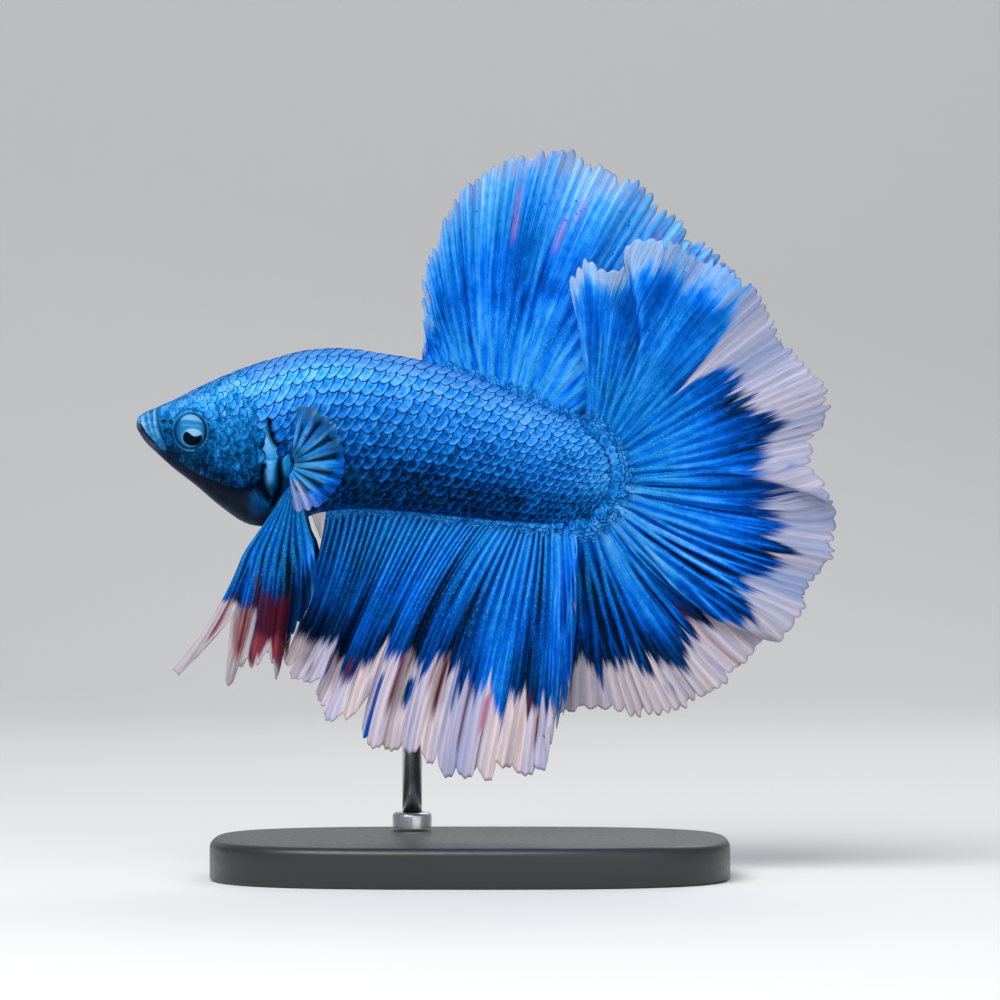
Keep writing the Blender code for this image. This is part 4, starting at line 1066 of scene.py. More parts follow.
def dorsal_fin(mat):
    rng, patchy = np.random.default_rng(22), np.random.default_rng(32)
    c, t, s = fin_grid(DORSAL_RAYS, 7, 56)
    cut = fingers(rng, c, DORSAL_RAYS, 0.70, 0.45, ((38.0, 1.0, 0.5), (47.5, 1.2, 0.7)))
    cut = cut * (1.0 + 0.7 * smooth(0.35, 0.10, s)) - 0.30
    root_x = -4.3 + 16.1 * s
    root = (root_x, body_at(root_x)[0] - 0.28)
    tip = fan_tips((4.0, 47.8), (150.0, 4.0), DORSAL_REACH, s, cut)
    x, z = ray_points(root, tip, curve(DORSAL_LEAD, s), t)
    y = body_bend(root_x) + 0.25 * smooth(0.8, 1.0, s) + (0.5 + 2.1 * smooth(0.3, 1.0, s)) * t \
        + 0.45 * np.sin(TURN * 6.0 * s + 0.6) * t * t \
        + pleats(rng, c, t, (2.0, 0.12, 1.0, 0.0), (4.7, 0.15, 1.3, 0.4), (8.3, 0.20, 1.4, 0.1))
    mid = np.stack([x, y, z], -1)
    ridge = branch_ridges(c, t, DORSAL_RAYS, (-0.3, -0.1), (0.10, 0.30), (0.48, 0.72))
    half = (0.040 + (0.100 - 0.060 * t) * ridge) * smooth(1.02, 0.93, t) + 0.022 + root_swell(mid, 0.30, 0.9)
    away = (1.0 - t) * np.hypot(tip[0] - root[0], tip[1] - root[1])
    width = steps(s, ((0.0, 1.0), (0.3, 1.2), (0.6, 1.8), (0.8, 3.0))) \
        * (1.0 + 0.6 * wander(rng, c, 0.9) + 0.4 * wander(rng, c, 2.2))
    white = (0.46 - 0.30 * smooth(0.50, 0.75, s)) * smooth(-1.8, 1.2, width - away)
    # lighter ridges and darker membrane between them: painted highlight and shade of the ray relief
    relief = np.clip(0.62 + 0.9 * wander2(patchy, c, t, 0.30, 2.2), 0.10, 1.3)
    tones = (0.33 + 0.14 * bell(t, 0.45, 0.22) - 0.25 * smooth(0.60, 1.0, t) * (1.0 - 0.4 * s)
             + (0.50 - ridge) * (0.28 - 0.12 * t) * np.maximum(relief, smooth(0.6, 0.8, t))
             + 0.13 * wander2(patchy, c, t, 1.1, 13.0) * smooth(0.75, 0.45, t)
             + 0.08 * wander(rng, c, 0.2) + 0.10 * wander2(rng, c, t, 0.35, 3.0) + 0.07 * wander(rng, c, 0.8)
             + 0.10 * smooth(0.3, 0.0, s) + 0.14 * smooth(0.85, 1.0, s) * bell(t, 0.4, 0.3)
             + 0.10 * smooth(0.55, 0.75, s) * smooth(0.5, 0.8, t))
    shell("fin_back", mid, half, mat, "fin_membrane", ("dorsal_fin",), ray=c + 200.0, reach=t,
          # the white holds a painted highlight round the finger tips
          ridge=ridge, tone=tones, white=np.maximum(white, 0.70 * finger_rim_highlights(c, t)),
          warm=np.clip(0.12 + 0.35 * wander(rng, c, 0.7), 0, 1), base=smooth(0.42, 0.05, t),
          pink=patches(c, t, DORSAL_PINK, 0.10, 0.10),
          # painted shade on the rear rays next to the body
          dark=0.45 * span(0.80, 0.9, 0.93, 0.975, s) * smooth(0.7, 0.3, t))


# ---- anal fin -------------------------------------------------------------------------------
ANAL_REACH = [21.8, 22.9, 22.9, 22.6, 22.9, 24.1, 23.8, 23.2, 24.6, 24.9, 24.8, 24.6, 25.3,
              26.3, 26.7, 26.8, 27.1, 26.6, 27.3, 27.4, 25.6]
ANAL_LEAD = [-98, -102, -113, -121, -127, -129, -122, -111, -99, -91, -88]
# share of the root line reached by each tenth of the margin: the rear rays share a narrow root
ANAL_ROOT = [0.0, 0.15, 0.31, 0.46, 0.60, 0.715, 0.79, 0.84, 0.885, 0.93, 1.0]
ANAL_RAYS = 52
# by fin share: width of the white margin, amount of navy inside it
ANAL_WHITE = ((0.0, 2.2), (0.03, 2.8), (0.134, 4.6), (0.25, 4.8), (0.36, 5.8), (0.45, 9.4),
              (0.50, 9.6), (0.56, 9.0), (0.60, 10.4), (0.637, 9.8), (0.742, 8.8), (0.80, 8.4),
              (0.878, 7.8), (0.974, 5.6), (1.0, 3.5))
ANAL_NAVY = ((0.0, 0.85), (0.25, 0.75), (0.36, 0.45), (0.46, 0.25), (0.55, 0.5), (0.62, 0.15),
             (0.8, 0.05), (0.9, 0.35), (1.0, 0.7))
# valleys between the gathers, painted dark as shade, rust in the white, blue left inside it:
# ray, reach from and to, half width in rays, amount
ANAL_VALLEYS = ((4.6, 0.50, 0.97, 0.9, 0.7), (11.4, 0.28, 0.97, 1.3, 1.0), (17.6, 0.45, 0.90, 0.7, 0.6),
                (25.0, 0.06, 0.92, 1.5, 1.0), (31.2, 0.16, 0.86, 1.3, 1.0), (36.8, 0.42, 0.80, 0.6, 0.5),
                (44.4, 0.30, 0.76, 0.6, 0.6), (50.4, 0.25, 0.85, 0.9, 0.8))
ANAL_RUST = ((6.4, 0.86, 1.02, 0.35, 0.6), (8.9, 0.78, 0.98, 0.35, 0.8), (13.9, 0.69, 0.88, 0.34, 0.9),
             (15.3, 0.74, 0.88, 0.35, 0.7), (23.4, 0.60, 0.90, 0.42, 0.95), (24.8, 0.60, 0.74, 0.35, 0.8),
             (29.4, 0.60, 0.80, 0.35, 0.7), (31.0, 0.57, 0.88, 0.50, 1.0), (35.7, 0.62, 0.95, 0.30, 0.85),
             (45.8, 0.66, 0.80, 0.35, 0.7), (47.6, 0.72, 0.94, 0.40, 1.0), (50.2, 0.70, 0.92, 0.35, 0.6))
ANAL_BLUE = ((20.7, 0.70, 1.10, 0.45, 0.85), (26.2, 0.69, 0.89, 0.85, 1.0), (42.1, 0.60, 0.92, 0.50, 0.9),
             (9.5, 0.70, 0.95, 0.4, 0.7), (33.6, 0.60, 0.84, 0.5, 0.6), (37.0, 0.60, 0.80, 0.4, 0.5))


def anal_fin(mat):
    rng = np.random.default_rng(23)
    c, t, s = fin_grid(ANAL_RAYS, 8, 60)
    groups = np.clip((c + 0.7 * wander(rng, c, 0.22)) / 3.0, 0.0, 17.99)
    cut = fingers(rng, groups, 18, 1.25, 0.7, ((6.0, 2.3, 0.34), (10.0, 0.8, 0.25), (14.0, 1.0, 0.3),
                                               (3.0, 0.7, 0.3)), soft=0.55)
    cut = cut + 0.22 * (1.0 - fine_ridges(c, 0.30)) - 0.60
    root_x = -14.4 + 23.65 * curve(ANAL_ROOT, s)
    root = (root_x, body_at(root_x)[1] + 0.28)
    tip = fan_tips((-2.0, 36.8), (-139.5, -66.5), ANAL_REACH, s, cut)
    x, z = ray_points(root, tip, curve(ANAL_LEAD, s), t)
    gathers = pleats(rng, c, t, (2.0, 0.05, 0.9, 0.0), (4.1, 0.14, 1.2, 0.3), (7.3, 0.24, 1.3, 0.7))
    valley = 0.0
    for place, low, high, width, depth in ANAL_VALLEYS:
        sway = place + 0.5 * wander2(rng, 0 * c, t, 1.0, 3.0)
        valley = np.maximum(valley, depth * bell(c, sway, width * (0.55 + 0.5 * t))
                            * span(low, low + 0.25, high - 0.12, high, t))
    y = body_bend(root_x) + (-0.4 - 2.2 * smooth(0.65, 1.0, s)) * t \
        + 0.5 * np.sin(TURN * 6.0 * s) * t * t + gathers + 0.55 * valley
    mid = np.stack([x, y, z], -1)
    cr = c + 0.30 * wander2(rng, c, t, 0.6, 2.5)
    single = fine_ridges(cr, 0.25)
    paired = lerp(fine_ridges(cr / 2.0, 0.27), single, smooth(0.36, 0.62, t))
    ridge = lerp(single, paired, smooth(24.0, 30.0, c))
    half = (0.040 + (0.125 - 0.090 * smooth(0.0, 0.7, t)) * ridge) * smooth(1.02, 0.93, t) + 0.022 \
        + root_swell(mid, 0.36, 0.9)
    away = (1.0 - t) * np.hypot(tip[0] - root[0], tip[1] - root[1])
    jag = 0.62 * spikes(rng, c, 0.30) + 0.30 * spikes(rng, c, 0.9) - 0.55 * spikes(rng, c, 0.42)
    width = steps(s, ANAL_WHITE) * (0.88 + 0.42 * jag + 0.06 * wander(rng, c, 2.6))
    white = smooth(-1.7, 1.3, width - away) * (1.0 - patches(c, t, ANAL_BLUE, 0.06, 0.10))
    band = bell(away - width, 1.4, 2.4) * steps(s, ANAL_NAVY) * (0.8 + 0.4 * wander(rng, c, 0.5))
    # lighter ridges, darker between them and in the valleys: painted highlight and shade
    tones = (0.47 + 0.15 * smooth(0.05, 0.40, t) - 0.12 * ridge * smooth(0.16, 0.02, t)
             + (0.50 - ridge) * (0.46 - 0.32 * smooth(0.15, 0.50, t))
             + 0.05 * wander(rng, c, 0.9) + 0.10 * wander(rng, c, 0.3)
             + 0.10 * wander2(rng, c, t, 0.4, 3.0) + 0.10 * wander2(rng, c, t, 1.1, 2.0)
             + 0.30 * valley + 0.40 * np.clip(band, 0.0, 1.0))
    # painted shade in the clefts between the white fingers
    seam_shade = smooth(0.13, 0.0, np.abs(groups - np.round(groups))) * white * (0.75 + 0.6 * wander(rng, c, 0.5))
    # dark: painted shade in the valleys and clefts, and a dark line beside the pink streak
    dark = most(0.8 * bell(c, 39.3, 0.22) * smooth(0.81, 0.86, t), (0.24 + 0.10 * white) * valley,
                0.42 * np.clip(seam_shade, 0.0, 1.0) * smooth(1.0, 0.8, t))
    shell("fin_anal", mid, half, mat, "fin_membrane", ("anal_fin",), ray=c + 400.0, reach=t,
          ridge=ridge, tone=tones, white=white, base=smooth(0.44, 0.05, t), dark=dark,
          warm=np.clip(0.62 + 0.65 * wander(rng, c, 0.36), 0, 1),
          pink=0.9 * np.exp(-np.abs((c - 38.9) / 0.62) ** 2.5) * span(0.67, 0.71, 0.81, 0.86, t),
          rust=patches(c, t, ANAL_RUST, 0.06, 0.10))


STRAND_TIPS = np.array([(7.6, 14.6), (8.3, 16.0), (8.6, 15.0), (9.0, 17.0), (9.5, 16.4), (10.0, 19.0),
                        (10.5, 26.6)])
STRAND_CLEFTS = np.array([0.6, 3.5, 5.0, 6.0, 6.5, 6.0, 3.0])


def anal_strands(mat):
    """Loose rear rays of the anal fin, hanging in front of the tail fin."""
    rng = np.random.default_rng(29)
    rays = len(STRAND_TIPS)
    c, t, s = fin_grid(rays, 8, 60)
    k = np.minimum(c.astype(int), rays - 1)
    f = np.clip(c - k, 0, 1)
    low = STRAND_TIPS[k, 1]
    tip = (np.interp(np.clip(c - 0.5, 0, rays - 1), np.arange(rays), STRAND_TIPS[:, 0]),
           low + STRAND_CLEFTS[k] * (1.0 - np.sin(math.pi * f) ** 0.7))
    root_x = 8.2 + 2.15 * s
    x, z = ray_points((root_x, body_at(root_x)[1] + 0.28), tip, -88.0 + 6.0 * s, t)
    x = x + 0.28 * np.sin(TURN * (1.15 * t + 0.13 * c)) * t * (1.0 - 0.3 * t)
    y = body_bend(root_x) + (-2.7 - 0.5 * s) * t ** 0.9 \
        + pleats(rng, c, t, (1.0, 0.22, 0.8, 0.0), (3.1, 0.35, 1.2, 0.2))
    ridge = np.sin(math.pi * f)
    rim = smooth(0.20, 0.03, np.minimum(f, 1.0 - f)) * smooth(0.15, 0.4, t)
    white = 0.7 * smooth(2.6, 0.6, z - low + 0.5 * wander(rng, c, 1.3))
    shell("fin_anal_strands", np.stack([x, y, z], -1),
          (0.045 + 0.09 * ridge) * smooth(1.03, 0.9, t) + 0.02, mat, "fin_membrane", ray=c + 500.0,
          reach=t, ridge=ridge, white=np.maximum(white, 0.06 * rim), warm=0.1, base=smooth(0.35, 0.04, t),
          tone=0.38 + 0.16 * smooth(0.1, 0.6, t) + 0.15 * wander(rng, c, 1.0) - 0.13 * rim,
          dark=0.25 * smooth(0.6, 0.95, t))


# ---- paired fins ----------------------------------------------------------------------------
PELVIC_TIPS = np.array([(-29.6, 20.9), (-29.0, 20.3), (-27.2, 22.2), (-23.8, 26.0),
                        (-24.4, 19.5), (-23.9, 19.0), (-23.2, 20.6), (-22.2, 20.8),
                        (-21.5, 20.9), (-20.7, 21.6), (-20.1, 21.8), (-19.6, 20.9),
                        (-19.3, 19.2), (-18.5, 23.1), (-17.9, 24.0), (-17.2, 24.9),
                        (-16.2, 26.4), (-15.5, 28.4), (-15.3, 30.2)])
PELVIC_LEAD = [-105, -104, -103, -101, -98, -94, -88, -82, -74, -62]
PELVIC_RAYS = len(PELVIC_TIPS) - 1


def pelvic_colours(rng, c, t, z, jag, ridge):
    """Masks of white, red and its brightness, by ray and by height above the stand's foot."""
    low = z + 5.0 * jag
    white = most(smooth(28.3, 27.0, low) * smooth(3.5, 2.9, c),
                 smooth(27.9, 26.4, low) * span(2.8, 3.3, 5.8, 6.8, c),
                 bell(c, 6.6, 0.42) * smooth(27.5, 25.5, low),
                 0.9 * smooth(0.88, 0.97, t + 0.8 * jag) * smooth(13.6, 12.6, c),
                 0.9 * bell(c, 12.0, 0.7) * smooth(0.80, 0.92, t), 0.5 * smooth(0.975, 1.0, t))
    spread = 1.40 * smooth(20.0, 25.5, z) + 0.25
    red = most(0.97 * bell(c, 2.05, 0.52) * span(23.2, 24.6, 27.6, 28.6, low),
               np.exp(-((c - 4.95) / spread) ** 4) * smooth(28.2, 27.0, low) * smooth(21.2, 23.2, z),
               0.95 * bell(c, 5.4 + 1.1 * smooth(30.0, 27.8, z), 0.55) * span(26.0, 27.5, 29.6, 30.8, z),
               span(6.9, 7.5, 12.0, 13.4, c) * smooth(28.7, 27.2, low - 0.5 * bell(c, 8.2, 1.0)))
    red = red * (1.0 - 0.80 * bell(c, 6.6, 0.22)) * smooth(0.98, 0.90, t + 0.6 * jag)
    red = red * np.clip(0.86 + 0.26 * wander(rng, c, 1.7) + 0.16 * (ridge - 0.5), 0.0, 1.0)
    bright = most(smooth(25.4, 22.6, low) * (1.0 - 0.6 * smooth(10.5, 12.5, c)),
                  0.8 * smooth(6.3, 5.3, c) * smooth(27.5, 25.5, z))
    patchy = np.random.default_rng(33)
    return white, red, np.clip(bright * (0.80 + 0.5 * wander2(patchy, c, t, 1.3, 5.0)), 0.0, 1.0)


def pelvic_fin(mat, side, word):
    rng = np.random.default_rng(24 if side > 0 else 25)
    far = 0.0 if side > 0 else 1.0
    c, t, s = fin_grid(PELVIC_RAYS, 8, 44)
    root = (-21.9 + 5.6 * s, 34.95 + 0.30 * s)
    cut = fingers(rng, c, PELVIC_RAYS, 0.5, 0.3, ((6.6, 1.0, 0.4), (9.5, 0.7, 0.4))) \
        * smooth(0.15, 0.3, s) + 1.6 * far
    ends = [np.interp(c, np.arange(PELVIC_RAYS + 1), PELVIC_TIPS[:, k]) for k in (0, 1)]
    kept = 1.0 - cut / np.hypot(ends[0] - root[0], ends[1] - root[1])
    x, z = ray_points(root, [lerp(root[k], ends[k], kept) for k in (0, 1)],
                      np.interp(s * 9.0, np.arange(10), PELVIC_LEAD), t)
    climb = smooth(0.20, 0.0, t) ** 1.2
    x = x + climb * (-18.25 + 1.15 * s - root[0]) + 0.5 * far * t
    z = z + climb * (38.9 + 0.35 * np.sin(math.pi * s) - root[1])
    folds = pleats(rng, c, t, (2.3, 0.07, 0.8, 0.0), (3.7, 0.30, 1.0, 0.3), (6.1, 0.25, 1.0, 0.6))
    depth = 1.55 + 1.9 * t * (1 - 0.35 * s) + 0.3 * np.sin(TURN * 2.5 * s) * t \
        + 0.75 * smooth(0.45, 0.0, t) + climb * 1.15 + folds
    cr = c + 0.45 * wander2(rng, c, t, 0.7, 2.5)
    ridge = lerp(fine_ridges(cr / 2.0, 0.30), fine_ridges(cr, 0.30), smooth(0.2, 0.5, t))
    jag = 0.07 * wander(rng, c, 1.2)
    white, red, bright = pelvic_colours(rng, c, t, z, jag, ridge)
    # tone follows the ridges and the folds: painted highlight and shade of the pleats
    tones = (0.70 + 0.18 * wander(rng, c, 0.5) + 0.22 * smooth(0.3, 0.75, t) * smooth(2.0, 7.0, c)
             - 0.26 * smooth(0.30, 0.0, t) + (0.50 - ridge) * 0.28
             - 1.0 * folds * smooth(0.1, 0.4, t) + 0.14 * wander2(rng, c, t, 0.9, 2.5))
    dark = 0.50 * smooth(0.40, 0.70, t) * smooth(10.5, 12.5, c) \
        + 0.25 * smooth(0.35, 0.6, t) * smooth(4.0, 8.0, c)
    dark = dark * (1.0 - 0.8 * red) + 0.40 * red * (1.0 - bright) * (0.6 + 0.5 * wander(rng, c, 1.1))
    shell("fin_pelvic_" + word, np.stack([x, -side * depth, z], -1),
          (0.045 + 0.075 * ridge) * smooth(1.03, 0.85, t) + 0.02, mat, "pelvic_membrane",
          ("pelvic_fin_" + word,), ray=c + 600.0 + 40.0 * side, reach=t, ridge=ridge, tone=tones,
          white=white, warm=0.85, base=smooth(0.55, 0.1, t), pink=red * smooth(0.0, 0.5, bright),
          rust=red * (1.0 - 0.85 * bright), dark=np.clip(dark * (1 - white * (1 - red)), 0.0, 1.0))


PECTORAL_REACH = [6.1, 6.5, 6.3, 5.9, 5.6, 5.4, 5.2, 5.0, 4.7]
PECTORAL_RAYS = 14
# sunk valleys between the rays, painted dark as shade
# ray, half width in rays, reach where it ends
PECTORAL_VALLEYS = ((0.9, 0.30, 0.72), (2.3, 0.38, 0.97), (4.1, 0.50, 0.99), (6.0, 0.52, 0.98),
                    (7.9, 0.55, 0.90), (9.7, 0.60, 0.84), (11.4, 0.45, 0.72), (12.9, 0.35, 0.60))


def pectoral_fin(mat, side, word):
    rng = np.random.default_rng(26 if side > 0 else 27)
    c, t, s = fin_grid(PECTORAL_RAYS, 10, 44)
    outer = span(0.34, 0.46, 0.80, 0.92, s)
    cut = fingers(rng, c, PECTORAL_RAYS, 0.40, 0.25, ((2.1, 0.5, 0.5), (4.0, 0.45, 0.4), (6.1, 0.35, 0.4)))
    cut = cut * (1.0 - 0.65 * outer)
    angle = np.radians(82.0 - 166.0 * s)
    reach = 0.45 + (curve(PECTORAL_REACH, s) - 0.45 - cut) * t
    x = HUB_X + 0.20 + reach * np.cos(angle) + 0.12 * np.sin(angle) * (1 - t)
    z = HUB_Z + 0.10 + reach * np.sin(angle) + 0.55 * (1.0 - 2.0 * s) * (1 - t) ** 2
    valley = most(*(bell(c, place, width * (0.80 + 0.25 * t)) * span(0.0, 0.12, end - 0.16, end, t)
                    for place, width, end in PECTORAL_VALLEYS))
    # painted highlight beside each valley
    lit = most(*(bell(c, place - 0.62, 0.20) * span(0.05, 0.3, 0.7, 1.0, t)
                 for place, _, _ in PECTORAL_VALLEYS))
    y = 4.47 + (1.35 - 0.45 * outer) * t * t - 0.35 * smooth(0.22, 0.0, t) - 0.42 * valley * (0.4 + t) \
        + pleats(rng, c, t, (1.0, 0.035, 0.8, 0.0), (5.0, 0.10, 1.0, 0.2))
    ridge = branch_ridges(c, t, PECTORAL_RAYS, (-0.3, -0.1), (-0.2, 0.0), (-0.2, 0.0))
    edge = outer * smooth(0.6, 0.95, t)
    tones = (0.42 + 0.08 * wander(rng, c, 0.6) + (0.5 - ridge) * 0.16 - 0.12 * bell(s, 0.55, 0.2)
             + 0.14 * smooth(0.62, 0.80, s) * smooth(0.4, 0.8, t)
             - 0.30 * lit * (1.0 - outer * smooth(0.6, 0.9, t))
             + 0.22 * smooth(0.55, 1.0, t) * smooth(0.85, 0.7, s) + 0.10 * edge)
    low = smooth(0.74, 0.90, s) * smooth(0.08, 0.35, t)
    grey = 0.30 * smooth(0.5, 1.0, t) * smooth(0.50, 0.20, s)
    shell("fin_pectoral_" + word, np.stack([x, -side * y, z], -1),
          (0.035 + 0.055 * ridge) * smooth(1.03, 0.88, t) + 0.02, mat, "pectoral_membrane",
          ("pectoral_fin_" + word,), ray=c + 800.0 + 40.0 * side, reach=t, ridge=ridge, tone=tones,
          white=np.clip(0.34 + 0.34 * low + grey - 0.30 * edge, 0, 1),
          warm=np.clip(0.90 * low * lit + 0.40 * low + grey * 0.6 - 0.10, 0, 1),
          base=0.5 * smooth(0.95, 0.3, t), pink=0.10 * low,
          rust=0.25 * bell(c, 8.6, 0.5) * smooth(0.2, 0.0, t),
          # painted shade in the valleys
          dark=most(np.clip(1.05 * valley, 0, 0.92) * (1.0 - 0.3 * low),
                    0.60 * smooth(0.40, 0.12, t) * smooth(0.62, 0.40, s)))


def vent_flap(mat):
    """Small pale flap between the pelvic fins and the front of the anal fin."""
    c, t, s = fin_grid(5, 5, 18)
    x = lerp(-15.95 + 1.50 * s, -15.05 + 0.15 * s, t ** 1.4)
    z = 37.0 - 0.15 * s - (2.95 - 0.5 * np.abs(s - 0.6)) * t
    y = -0.55 + 0.12 * np.sin(TURN * s) * t
    shell("vent_flap", np.stack([x, y, z], -1), 0.08 + 0.05 * (1.0 - t), mat, "fin_membrane",
          ray=c + 950.0, reach=0.9, ridge=0.94 + 0.06 * np.abs(np.sin(math.pi * c)), tone=0.2,
          white=1.0, warm=0.9, dark=0.25 * smooth(0.10, 0.0, t))


# ---- eyes -----------------------------------------------------------------------------------
def eye_material():
    s = Shader("eye_glass")
    iris = s.mix(s.noise(900.0), (0.003, 0.110, 0.300), (0.020, 0.240, 0.520))
    # pale: painted reflection over the pupil and across the top, and the silver ring under the pupil
    colour = s.mix(s.attr("pale"), iris, (0.230, 0.450, 0.680))
    colour = s.mix(s.attr("shade"), colour, (0.004, 0.045, 0.140))
    colour = s.mix(s.attr("pupil"), colour, (0.0005, 0.001, 0.003))
    s.surface(colour, 0.32, 0.0, 0.08, 0.05, 0.05, SHEEN_BLUE)
    s.bump(s.noise(1400.0), 0.12, 0.00003)
    return s.mat


# lower border of the light that lies over the pupil (x, height)
EYE_DRAPE = ((-28.8, 44.85), (-28.55, 44.70), (-28.3, 44.62), (-28.05, 44.50), (-27.75, 44.26),
             (-27.45, 44.12), (-27.2, 44.16), (-26.9, 44.26), (-26.5, 44.42))


def add_eye(mat, side, word):
    rings, around = 72, 96
    lat = np.linspace(0.0, math.pi, rings)
    A, B = np.meshgrid(lat, np.arange(around) / around * TURN, indexing='ij')
    dx, dz = np.sin(A) * np.cos(B), np.sin(A) * np.sin(B)
    x = EYE_X + 0.04 + 1.56 * dx
    z = EYE_Z + 1.82 * dz
    dome = np.sqrt(np.clip(1.0 - np.hypot(dx, dz) ** 3.4, 0.0, 1.0))
    front = 1.70 + 0.98 * dome + 0.17 * (x - EYE_X) * dome \
        + 0.05 * bell(np.hypot(dx - 0.10, dz + 0.16), 0.0, 0.42)
    verts = np.stack([x, -side * np.where(np.cos(A) > 0, front, 1.70 - 1.0 * dome), z], -1).reshape(-1, 3)
    q = np.hypot((x + 27.70) / 0.96, (z - 44.02) / 0.80)
    shine = smooth(-0.05, 0.07, z - steps(x, EYE_DRAPE)) * smooth(1.22, 1.08, q)
    rimmed = bell(q, 1.10, 0.05) * smooth(0.4, -0.3, z - 44.4)
    r = np.hypot((x - EYE_X - 0.04) / 1.50, (z - EYE_Z) / 1.77)
    # painted reflection: a pale band over the top of the eye, with streaks
    top = smooth(45.66, 45.92, z + 0.25 * (x + 27.9) ** 2 * 0.35 + 0.10 * (x + 27.9)) * smooth(0.99, 0.90, r)
    streaks = bell(z + 0.08 * (x + 27.9), 45.25, 0.10) * smooth(0.9, 0.6, r)
    # painted shade round the eye's edge, on its front side and low down
    shade = 0.90 * smooth(0.94, 1.0, r) + 0.62 * smooth(-28.50, -29.20, x) * (1.0 - top) \
        + 0.25 * smooth(44.2, 43.0, z) * (1.0 - rimmed)
    # pale is painted reflection (shine, top, streaks) and the silver ring (rimmed); shade is painted shade
    attrs = {"pupil": smooth(1.04, 0.94, q) * (1.0 - shine), "shade": np.clip(shade, 0, 1),
             "pale": np.clip(most(0.88 * shine, 0.42 * rimmed, 0.60 * top) + 0.22 * streaks, 0.0, 1.0)}
    g = numbered(rings, around, closed=True)
    lon_edge = np.arange(around + 1) / around * 0.96 + 0.02
    places = np.stack(np.meshgrid(lon_edge, lat / math.pi * 0.96 + 0.02), -1)
    middle = (lon_edge[:-1] + lon_edge[1:]) / 2
    tips = [np.stack([middle, np.full(around, end)], -1) for end in (0.02, 0.98)]
    faces = [grid_quads(g[1:-1])[:, TURNED], np.vstack([fan(g[0, :-1], g[1], False), fan(g[-1, :-1], g[-2])])]
    uvs = [grid_quads(places[1:-1])[:, TURNED],
           np.vstack([fan(tips[0], places[1], False), fan(tips[1], places[-2])])]
    if side > 0:
        faces, uvs = [f[:, ::-1] for f in faces], [w[:, ::-1] for w in uvs]
    make_mesh("eyeball_" + word, verts, faces, mat, ("eye_" + word,), attrs, uvs)


# ---- stand ----------------------------------------------------------------------------------
def paint_material():
    s = Shader("stand_satin_black")
    grain = s.noise(1800.0)
    s.surface(s.mix(s.noise(60.0), (0.016, 0.017, 0.019), (0.024, 0.025, 0.028)),
              s.ramp(grain, (0.3, 0.34), (0.7, 0.46)), coat=0.1, coat_roughness=0.3)
    s.bump(grain, 0.15, 0.00003)
    return s.mat


def steel_material():
    s = Shader("stand_brushed_steel")
    stretch = s.node("Mapping", {"Vector": s.position(), "Scale": (1.0, 1.0, 0.04)})
    brush = s.noise(9000.0, 2.0, stretch)
    s.surface(s.mix(brush, (0.50, 0.51, 0.53), (0.66, 0.67, 0.69)),
              s.ramp(brush, (0.3, 0.24), (0.7, 0.38)), metallic=1.0)
    return s.mat


def rubber_material():
    s = Shader("stand_rubber")
    grain = s.noise(2400.0)
    s.surface(s.mix(grain, (0.020, 0.020, 0.022), (0.036, 0.036, 0.038)), 0.72)
    s.bump(grain, 0.3, 0.00004)
    return s.mat


def lathe(name, rings, mat, node, closed_ends=True):
    """Skin over rings of points (n, around, 3)."""
    rings = np.asarray(rings)
    n, around = rings.shape[:2]
    g = numbered(n, around, closed=True)
    faces, verts = [grid_quads(g)[:, TURNED]], rings.reshape(-1, 3)
    if closed_ends:
        verts = np.vstack([verts, rings[0].mean(0), rings[-1].mean(0)])
        faces.append(np.vstack([fan(n * around, g[0], False), fan(n * around + 1, g[-1])]))
    make_mesh(name, verts, faces, mat, (node,))


def circle(count):
    a = np.arange(count) / count * TURN
    return np.stack([np.cos(a), np.sin(a)], -1)


def quarter(cuts):
    """Sine and versed sine over a quarter turn, for rounded edges."""
    return [(math.sin(k / cuts * math.pi / 2), 1 - math.cos(k / cuts * math.pi / 2)) for k in range(cuts + 1)]


def stand():
    outline = circle(192)
    outline = np.sign(outline) * np.abs(outline) ** (2 / 3)
    # height and how far the oval grows, from the foot over the rounded edge to the middle
    profile = [(0.0, -0.35), (0.12, -0.12), (0.35, 0.0)] \
        + [(3.2 + 0.8 * rise, -0.8 * inset) for rise, inset in quarter(8)] + [(4.0, -2.0), (4.0, -6.0)]
    lathe("stand_base_body", [np.column_stack([outline * [26.0 + grow, 17.0 + grow], np.full(192, z)])
                              for z, grow in profile], paint_material(), "stand_base")
    steel = steel_material()
    ring = circle(40)
    path = np.array([(10.5, 4.24), (10.5, 24.0)] + [(10.5 - 4.0 * inset, 40.0 + 4.0 * rise)
                                                   for rise, inset in quarter(12)]
                    + [(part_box("stand_rod")[0][1] * 1000, 44.0)])
    ahead, behind = np.vstack([path[1:], path[-1:]]), np.vstack([path[:1], path[:-1]])
    lathe("stand_rod_body", [np.column_stack([-6.0 + ring[:, 0], y - ring[:, 1] * dz, z + ring[:, 1] * dy])
                             for (y, z), (dy, dz) in zip(path, unit(ahead - behind))],
          steel, "stand_rod")
    low, high = (np.array(v) * 1000 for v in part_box("stand_collar"))
    outer, bore = (high[0] - low[0]) / 2, 1.22
    loop = [(outer, low[2]), (outer, high[2] - 0.35), (outer - 0.1, high[2] - 0.1), (outer - 0.35, high[2]),
            (bore, high[2]), (bore, low[2]), (outer, low[2])]
    lathe("stand_collar_body", [np.column_stack([(low + high)[:2] / 2 + r * ring, np.full(40, z)])
                                for r, z in loop], steel, "stand_collar", closed_ends=False)
    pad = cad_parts["stand_pad"]
    rubber = rubber_material()
    if not pad.material_slots:
        pad.data.materials.append(rubber)
    pad.material_slots[0].link = 'OBJECT'
    pad.material_slots[0].material = rubber


